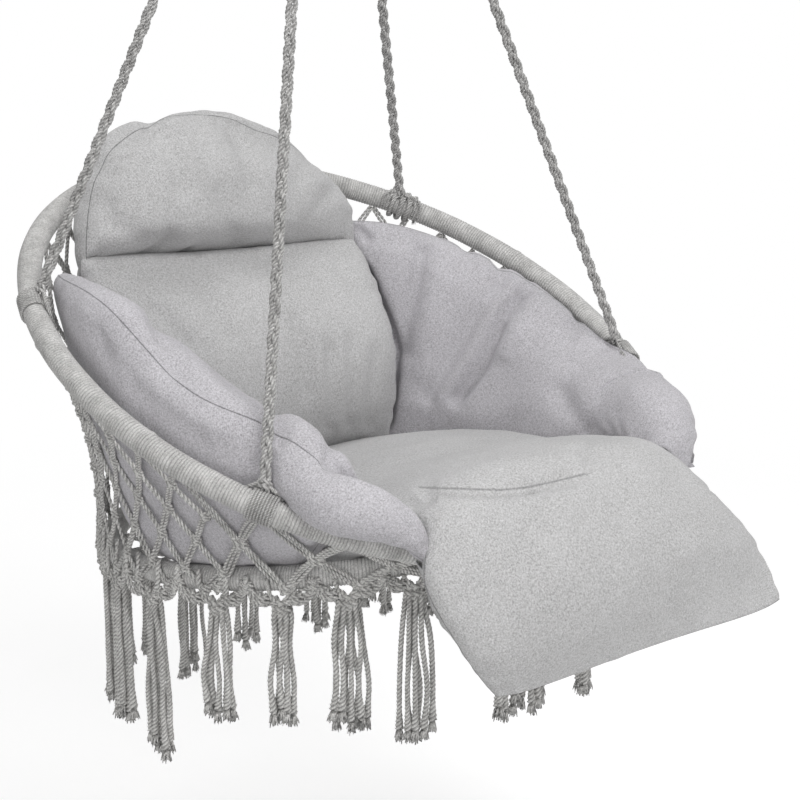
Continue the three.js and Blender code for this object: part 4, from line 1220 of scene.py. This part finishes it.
def press(pillow, trees):
    """Lays a pillow against the hoops, ropes and net outside it and the pillows before it."""
    low = pillow.name == "pad"
    edge = pillow.edge()
    over = np.zeros(edge.shape)
    if "wing" in pillow.name:
        over = np.clip((pillow.v - OVER_HOOP[0]) / (OVER_HOOP[1] - OVER_HOOP[0]), 0, 1)
        over = over * over * (3 - 2 * over)
        rise = UP + np.zeros_like(pillow.top)
        nearest, radius = BARS[0]
        for key in ("top", "bottom"):
            sheet = getattr(pillow, key)
            far = push_over(sheet, rise, nearest, radius + SOFT_GAP, BAR_REACH)
            setattr(pillow, key, sheet + rise * (over * spread(far, *HOOP_SPREAD))[..., None])
        pillow.bottom[edge] = pillow.top[edge]
    way = pillow.lift() * (1 if low else -1)
    outer, inner = (pillow.bottom, pillow.top) if low else (pillow.top, pillow.bottom)
    far = np.zeros(edge.shape)
    for nearest, radius in BARS:
        far = np.maximum(far, push_over(outer, way, nearest, radius + SOFT_GAP, BAR_REACH))
    outer = outer + way * ((1 - over) * spread(far))[..., None]
    if not low:
        for nearest, radius in ROPE_BARS:
            over = push_over(outer, way, nearest, radius + SOFT_GAP, ROPE_REACH)
            outer = outer + way * spread(over, *ROPE_SPREAD)[..., None]
    boxed = outer + (inside_basket(outer, NET_ROOM) - outer) * (1 - over)[..., None]
    moved = ((boxed - outer) * way).sum(-1)
    moved = np.maximum(moved, 0)
    outer = boxed + way * (spread(moved, *NET_SPREAD) - moved)[..., None]
    back = np.zeros(edge.shape)
    for tree in trees:
        for i, j in zip(*np.nonzero(~edge)):
            run = inner[i, j] - outer[i, j]
            size = float(np.linalg.norm(run))
            if size < 1e-6:
                continue
            hit, normal, _, at = tree.ray_cast(Vector(outer[i, j]), Vector(run / size), size + SOFT_GAP)
            if hit is None:
                continue
            covered = normal.dot(Vector(run)) > 0
            back[i, j] = max(back[i, j], size - LEAST_THICK if covered else size + SOFT_GAP - at)
    inner = inner - way * spread(back, *PAD_SPREAD)[..., None]
    thick = ((inner - outer) * way).sum(-1)
    from_sides = np.minimum(np.minimum(pillow.u, 1 - pillow.u), np.minimum(pillow.v, 1 - pillow.v))
    crown = np.minimum(1, 4 * from_sides)
    least = LEAST_THICK * np.sqrt(crown)
    inner = inner + way * np.maximum(least - thick, 0)[..., None]
    inner[edge] = outer[edge]
    pillow.top, pillow.bottom = (inner, outer) if low else (outer, inner)


SEAM_FADE = 22 * MM
CLOTH_PRESSURE = 4.0
CLOTH_SLACK = 0.04
CLOTH_FRAMES = 20
MOVE_ROUNDS = 14


def inflate(pillow, cap):
    """Fills a pillow with air as cloth, its seam held, and keeps each point's move small."""
    start = pillow.flat_points()
    thing = new_object("inflating", pillow.mesh("inflating"))
    seam = thing.vertex_groups.new(name="seam")
    seam.add([int(k) for k in pillow.indices()[0][pillow.edge()]], 1.0, "REPLACE")
    cloth = thing.modifiers.new("Cloth", "CLOTH").settings
    cloth.quality = 5
    cloth.mass = 0.2
    cloth.tension_stiffness = cloth.compression_stiffness = 20
    cloth.shear_stiffness = 8
    cloth.bending_stiffness = 0.4
    cloth.use_pressure = True
    cloth.uniform_pressure_force = CLOTH_PRESSURE
    cloth.shrink_min = -CLOTH_SLACK
    cloth.vertex_group_mass = "seam"
    cloth.effector_weights.gravity = 0
    scene = bpy.context.scene
    for step in range(1, CLOTH_FRAMES + 1):
        scene.frame_set(step)
    shown = thing.evaluated_get(bpy.context.evaluated_depsgraph_get())
    points = np.zeros(len(start) * 3)
    shown.data.vertices.foreach_get("co", points)
    move = points.reshape(-1, 3) - start
    bpy.data.objects.remove(thing)
    scene.frame_set(1)
    seam_far = np.min([far for far, _ in pillow.seam_places()], axis=0)
    for key, at in zip(("top", "bottom"), pillow.indices()):
        field = eased(move[at], MOVE_ROUNDS) * (1 - np.exp(-seam_far / SEAM_FADE))[..., None]
        far = np.linalg.norm(field, axis=-1, keepdims=True)
        setattr(pillow, key, getattr(pillow, key) + field * np.minimum(1, cap / np.maximum(far, 1e-9)))
    pillow.bottom[pillow.edge()] = pillow.top[pillow.edge()]


# Creases: pixels of the photograph that a fold runs through, its depth in millimetres
# (less than nothing for a ridge), its half width in pixels, and True if both sheets dip
CREASES = {
    "head": [
        ([(158, 108), (168, 135), (176, 165), (182, 190)], 6, 8),
        ([(150, 165), (163, 205), (172, 240)], 6, 9),
        ([(180, 130), (196, 175), (205, 215)], -4, 12),
        ([(224, 112), (240, 145), (252, 185)], 5, 9),
        ([(222, 190), (228, 215), (238, 243)], 5, 8),
        ([(95, 200), (118, 225), (150, 243), (190, 258)], 7, 12),
        ([(300, 230), (320, 205), (335, 190)], 4, 8),
        ([(147, 112), (150, 128), (158, 146)], 8, 11, True),
        ([(246, 112), (256, 128)], 4, 12, True),
        ([(312, 158), (300, 176)], 4, 12, True),
        ([(90, 160), (108, 172)], 4, 12, True),
    ],
    "back": [
        ([(206, 290), (216, 312), (230, 338)], 5, 7),
        ([(180, 300), (200, 335)], -3, 9),
        ([(296, 318), (306, 350), (309, 392)], 6, 6),
        ([(318, 330), (320, 370), (322, 410)], -4, 7),
        ([(332, 350), (330, 388), (327, 428)], 6, 6),
        ([(352, 340), (352, 380), (349, 425)], 5, 6),
        ([(376, 350), (372, 385), (368, 425)], 4, 6),
        ([(338, 262), (352, 280), (370, 292)], 4, 7),
        ([(255, 300), (262, 345), (264, 385)], 3, 9),
        ([(140, 300), (165, 318), (185, 345)], 4, 8),
    ],
    "left_wing": [
        ([(158, 318), (168, 345), (176, 366)], 11, 11, True),
        ([(266, 384), (276, 412), (278, 440)], 10, 9, True),
        ([(328, 428), (334, 446), (328, 462)], 7, 7, True),
        ([(100, 300), (96, 330), (104, 356)], 5, 8),
        ([(262, 436), (258, 462), (250, 486)], 6, 9),
        ([(345, 500), (330, 516)], 5, 9),
        ([(200, 362), (206, 384)], -4, 13),
        ([(150, 372), (180, 400), (210, 425)], -4, 14),
        ([(300, 418), (306, 436)], -4, 12),
    ],
    "right_wing": [
        ([(421, 250), (414, 290), (405, 326), (402, 350)], 11, 8),
        ([(440, 250), (432, 310), (424, 370)], -6, 12),
        ([(503, 276), (478, 315), (455, 352), (428, 398)], 8, 7),
        ([(524, 290), (504, 314), (490, 343), (478, 368), (456, 398)], 20, 6),
        ([(358, 272), (374, 300), (388, 335), (391, 360), (387, 395), (381, 436)], 20, 7),
        ([(512, 275), (490, 312), (470, 350), (440, 396)], -5, 7),
        ([(540, 300), (524, 320), (506, 352)], -7, 10),
        ([(562, 394), (572, 412), (582, 430)], 9, 12),
        ([(596, 372), (580, 398), (572, 424)], -5, 13),
        ([(366, 270), (374, 286)], 7, 5),
        ([(352, 218), (366, 238)], 8, 6),
        ([(466, 244), (470, 268)], 4, 8, True),
        ([(500, 262), (500, 284)], 8, 8, True),
        ([(574, 322), (566, 342)], 7, 8, True),
        ([(636, 394), (664, 420), (684, 448)], -5, 16),
    ],
    "pad": [
        ([(424, 496), (412, 500)], 10, 9),
        ([(585, 452), (592, 476)], 7, 5),
        ([(706, 556), (722, 586)], 3, 6),
        ([(728, 560), (742, 594)], 3.5, 6),
        ([(746, 580), (756, 606)], 3, 5),
        ([(690, 566), (700, 596)], 2.5, 6),
        ([(664, 588), (670, 616)], 2.5, 7),
        ([(634, 470), (660, 486), (684, 508)], -4, 16),
        ([(455, 520), (480, 560)], -3, 18),
        ([(588, 438), (593, 454)], 4, 7),
    ],
}
CHANNEL_PIXELS = [
    (414, 487), (434, 488), (470, 489), (500, 490), (522, 488), (543, 484), (565, 479), (589, 473),
]
# The quilted channel's depth, how many pixels it is wide behind and in front, the
# tucks along it, and the pixels over which its two ends fade
CHANNEL_DEPTH = 17 * MM
CHANNEL_BEHIND = 8
CHANNEL_AHEAD = 4
TUCK = 1.3 * MM
TUCK_PIXELS = (9, 13, 21)
TUCK_OFF = 7
TUCK_WIDE = 6
FADE_FIRST = 10
FADE_LAST = 14
PIXEL = 1.25 * MM
# Creases fade where the cloth turns less than this towards the photograph's camera
FACING = 0.25
PUCKER = 1.7 * MM
PUCKER_REACH = 20 * MM
PUCKER_START = 4 * MM
PUCKER_LENGTHS = (0.023, 0.031, 0.047, 0.071)
# The filling's lumps: their height as a share of their length, and their lengths
LUMP_SHARE = 0.011
LUMP_LENGTHS = (0.055, 0.08, 0.12, 0.17)


def off_line(spots, line):
    """Pixels from each spot to a drawn line, signed by its side, and how far along."""
    best = np.full(spots.shape[:-1], 1e9)
    run = np.zeros(spots.shape[:-1])
    line = np.asarray(line, float)
    done = 0.0
    for start, end in zip(line[:-1], line[1:]):
        way = end - start
        t = np.clip(((spots - start) @ way) / (way @ way), 0, 1)
        off = spots - (start + t[..., None] * way)
        far = np.linalg.norm(off, axis=-1)
        side = np.sign(way[0] * off[..., 1] - way[1] * off[..., 0])
        nearer = far < np.abs(best)
        size = float(np.linalg.norm(way))
        run = np.where(nearer, done + t * size, run)
        best = np.where(nearer, np.where(side == 0, 1, side) * far, best)
        done += size
    return best, run, done


def wavy(run, lengths, rng):
    """A smooth random wave along a line, of a few lengths."""
    total = 0
    for size in lengths:
        total = total + np.sin(2 * np.pi * run / size + rng.uniform(0, 2 * np.pi))
    return total / math.sqrt(len(lengths))


def crumple(pillow, rng):
    """Folds, puckers along the seams and the lumps of the filling."""
    for sheet, sign in (("top", 0), ("bottom", 1)):
        points = getattr(pillow, sheet)
        normal = pillow.normals()[sign]
        facing = np.clip((normal @ VIEW_BACK) / FACING, 0, 1)
        spots = in_photo(points)
        crown = (16 * pillow.u * (1 - pillow.u) * pillow.v * (1 - pillow.v)) ** 0.5
        push = np.zeros(points.shape[:2])
        dent = np.zeros(points.shape[:2])
        for line, depth, width, *both in CREASES[pillow.name]:
            off = off_line(spots, line)[0]
            deep = depth * MM * np.exp(-(off / width) ** 2)
            if both:
                dent -= deep
            else:
                push -= deep * facing * np.minimum(1, crown * 3)
        if pillow.name == "pad":
            off, run, total = off_line(spots, CHANNEL_PIXELS)
            ends = np.clip(run / FADE_FIRST, 0, 1) * np.clip((total - run) / FADE_LAST, 0, 1)
            across = np.exp(-np.abs(off) / np.where(off > 0, CHANNEL_AHEAD, CHANNEL_BEHIND))
            tucks = wavy(run, TUCK_PIXELS, rng) * np.exp(-((np.abs(off) - TUCK_OFF) / TUCK_WIDE) ** 2)
            push -= facing * ends * (CHANNEL_DEPTH * across + TUCK * tucks)
        for far, run in pillow.seam_places():
            near = np.exp(-far / PUCKER_REACH) * (1 - np.exp(-far / PUCKER_START))
            push += PUCKER * near * wavy(run, PUCKER_LENGTHS, rng)
        for size in LUMP_LENGTHS:
            turn = unit(rng.normal(size=3))
            wave = np.sin(2 * np.pi * (points @ turn) / size + rng.uniform(0, 2 * np.pi))
            push += LUMP_SHARE * size * wave * np.minimum(1, crown)
        push[pillow.edge()] = 0
        push += dent
        setattr(pillow, sheet, points + normal * push[..., None])
    edge = pillow.edge()
    pillow.bottom[edge] = pillow.top[edge]


def tree_of(pillow):
    faces = [tuple(int(i) for i in f) for part in pillow.faces() for f in part]
    return BVHTree.FromPolygons([tuple(p) for p in pillow.flat_points()], faces)


def point_values(pillow, top, bottom):
    """Numbers of the two sheets' grids in the order of the mesh's points."""
    width = top.shape[2:]
    return np.concatenate([top.reshape(-1, *width), bottom[pillow.indices()[2]]])


def channel_places(pillow, sheet):
    """How far each point lies from the quilted channel, less than nothing behind it, for the painted shade
    along the channel.
    """
    if pillow.name != "pad":
        return np.ones(sheet.shape[:2])
    off, run, total = off_line(in_photo(sheet), CHANNEL_PIXELS)
    past = np.maximum(0, 3 - run) + np.maximum(0, run - total + 3)
    return np.where(off > 0, 1, -1) * (np.abs(off) + 4 * past) * PIXEL


def finish_cushion(pillow, name, material, slot, nodes, fill):
    mesh = pillow.mesh(name)
    thing = new_object(name, mesh)
    cloth, seam, channel = [], [], []
    for sheet in (pillow.top, pillow.bottom):
        a, b = runs(sheet)
        cloth.append(np.stack([a - a[-1:] / 2, b, 0 * a], -1))
        seam.append(np.min([far for far, _ in from_seams(a, b)], axis=0))
        channel.append(channel_places(pillow, sheet))
    channel[1] = np.ones_like(channel[1])
    attribute = mesh.attributes.new("cloth", "FLOAT_VECTOR", "POINT")
    attribute.data.foreach_set("vector", point_values(pillow, *cloth).astype(np.float32).ravel())
    # The seam and channel distances set where the cloth material paints shade.
    point_attribute(mesh, "seam", point_values(pillow, *seam))
    point_attribute(mesh, "channel", point_values(pillow, *channel))
    dress(thing, material, nodes, None if pillow.name == "pad" else "chair")
    return thing


# Each cushion's grid, the most that the air moves it in millimetres, its fill, and
# the cushions that it lies against
CUSHIONS = {
    "pad": ((46, 84), 8, 0.6, []),
    "back": ((44, 38), 8, 0.7, ["pad"]),
    "head": ((44, 38), 9, 0.75, ["back"]),
    "left_wing": ((28, 68), 9, 0.6, ["pad", "back", "head"]),
    "right_wing": ((28, 68), 9, 0.6, ["pad", "back", "head"]),
}


def bend_at_fold(pad):
    """Bakes the seat and leg pad's placement into its mesh."""
    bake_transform(pad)


def make_cushions():
    trees = {}
    for name, (grid, cap, fill, neighbours) in CUSHIONS.items():
        rng = np.random.default_rng(len(trees) + 5)
        pillow = Pillow(name, *grid)
        inflate(pillow, cap * MM)
        press(pillow, [trees[n] for n in neighbours])
        pillow.refine()
        crumple(pillow, rng)
        trees[name] = tree_of(pillow)
        if name == "pad":
            nodes = ["seat_cushion", "leg_cushion"]
            bend_at_fold(finish_cushion(pillow, "seat_and_leg_pad", CLOTH, "cloth", nodes, fill))
        else:
            look = (WING_CLOTH, "wing_cloth") if "wing" in name else (CLOTH, "cloth")
            finish_cushion(pillow, f"{name}_pad", *look, [f"{name}_cushion"], fill)


make_cushions()

# Light, floor and background

FLOOR_SIZE = 18.0
FLOOR_DROP = 0.62
FLOOR_GLOW = 0.35
FLOOR_FADE = (0.9, 2.2)
WORLD_LIGHT = 0.52
# Each lamp's place and target from the chair, its size and its watts
LAMPS = {
    "key": ((-0.6, -2.0, 2.4), (0, 0, 0), 1.6, 34),
    "front": ((-2.6, -1.5, 0.7), (0, 0, 0), 1.8, 26),
    "fill": ((1.1, -1.8, 0.0), (0.05, -0.45, -0.05), 1.2, 7),
    "top": ((0.3, 0.5, 3.0), (0, 0, 0), 1.5, 20),
}


def make_floor():
    """A pale floor that keeps the shadow and turns to plain white away from the chair."""
    at = CHAIR - UP * FLOOR_DROP
    corners = FLOOR_SIZE * np.array([[-1, -1, 0], [1, -1, 0], [1, 1, 0], [-1, 1, 0]])
    floor = new_object("floor", mesh_of("floor", at + corners, [np.array([[0, 1, 2, 3]])], rounded=False))
    n, place = new_material("pale_floor")
    path = n.add("LightPath")
    seen = n.math("MAXIMUM", path["Is Camera Ray"], path["Is Glossy Ray"])
    n.give(n.shader, {
        "Base Color": n.ramp(n.noise(place, 3), (0.3, (0.83, 0.83, 0.83)), (0.7, (0.86, 0.86, 0.86))),
        "Roughness": 0.9,
        "Emission Color": (1, 1, 1, 1),
        "Emission Strength": n.math("MULTIPLY", seen, FLOOR_GLOW),
    })
    white = n.add("Emission", {"Strength": seen})[0]
    far = n.add("VectorMath", {"operation": "DISTANCE", 0: place, 1: tuple(at)})["Value"]
    mix = n.add("MixShader", {0: n.remap(far, *FLOOR_FADE), 1: n.shader.outputs[0], 2: white})[0]
    n.give(n.tree.nodes["Material Output"], {"Surface": mix})
    floor.data.materials.append(n.owner)


def make_world():
    n = Nodes(bpy.data.worlds.new("studio"), "Background")
    bpy.context.scene.world = n.owner
    path = n.add("LightPath")
    more = n.math("MAXIMUM", path["Is Glossy Ray"], path["Is Transmission Ray"])
    seen = n.math("MAXIMUM", path["Is Camera Ray"], more)
    n.give(n.shader, {"Color": (1, 1, 1, 1), "Strength": n.remap(seen, to_low=WORLD_LIGHT)})


def add_lamp(name, place, target, size, watts):
    data = bpy.data.lights.new(name, "AREA")
    data.shape, data.size, data.energy = "DISK", size, watts
    place, target = CHAIR + place, CHAIR + target
    aim(new_object(name, data), place, Vector(target) - Vector(place))


make_floor()
make_world()
for lamp_name, lamp in LAMPS.items():
    add_lamp(lamp_name, *lamp)
bpy.context.scene.view_settings.view_transform = "Standard"
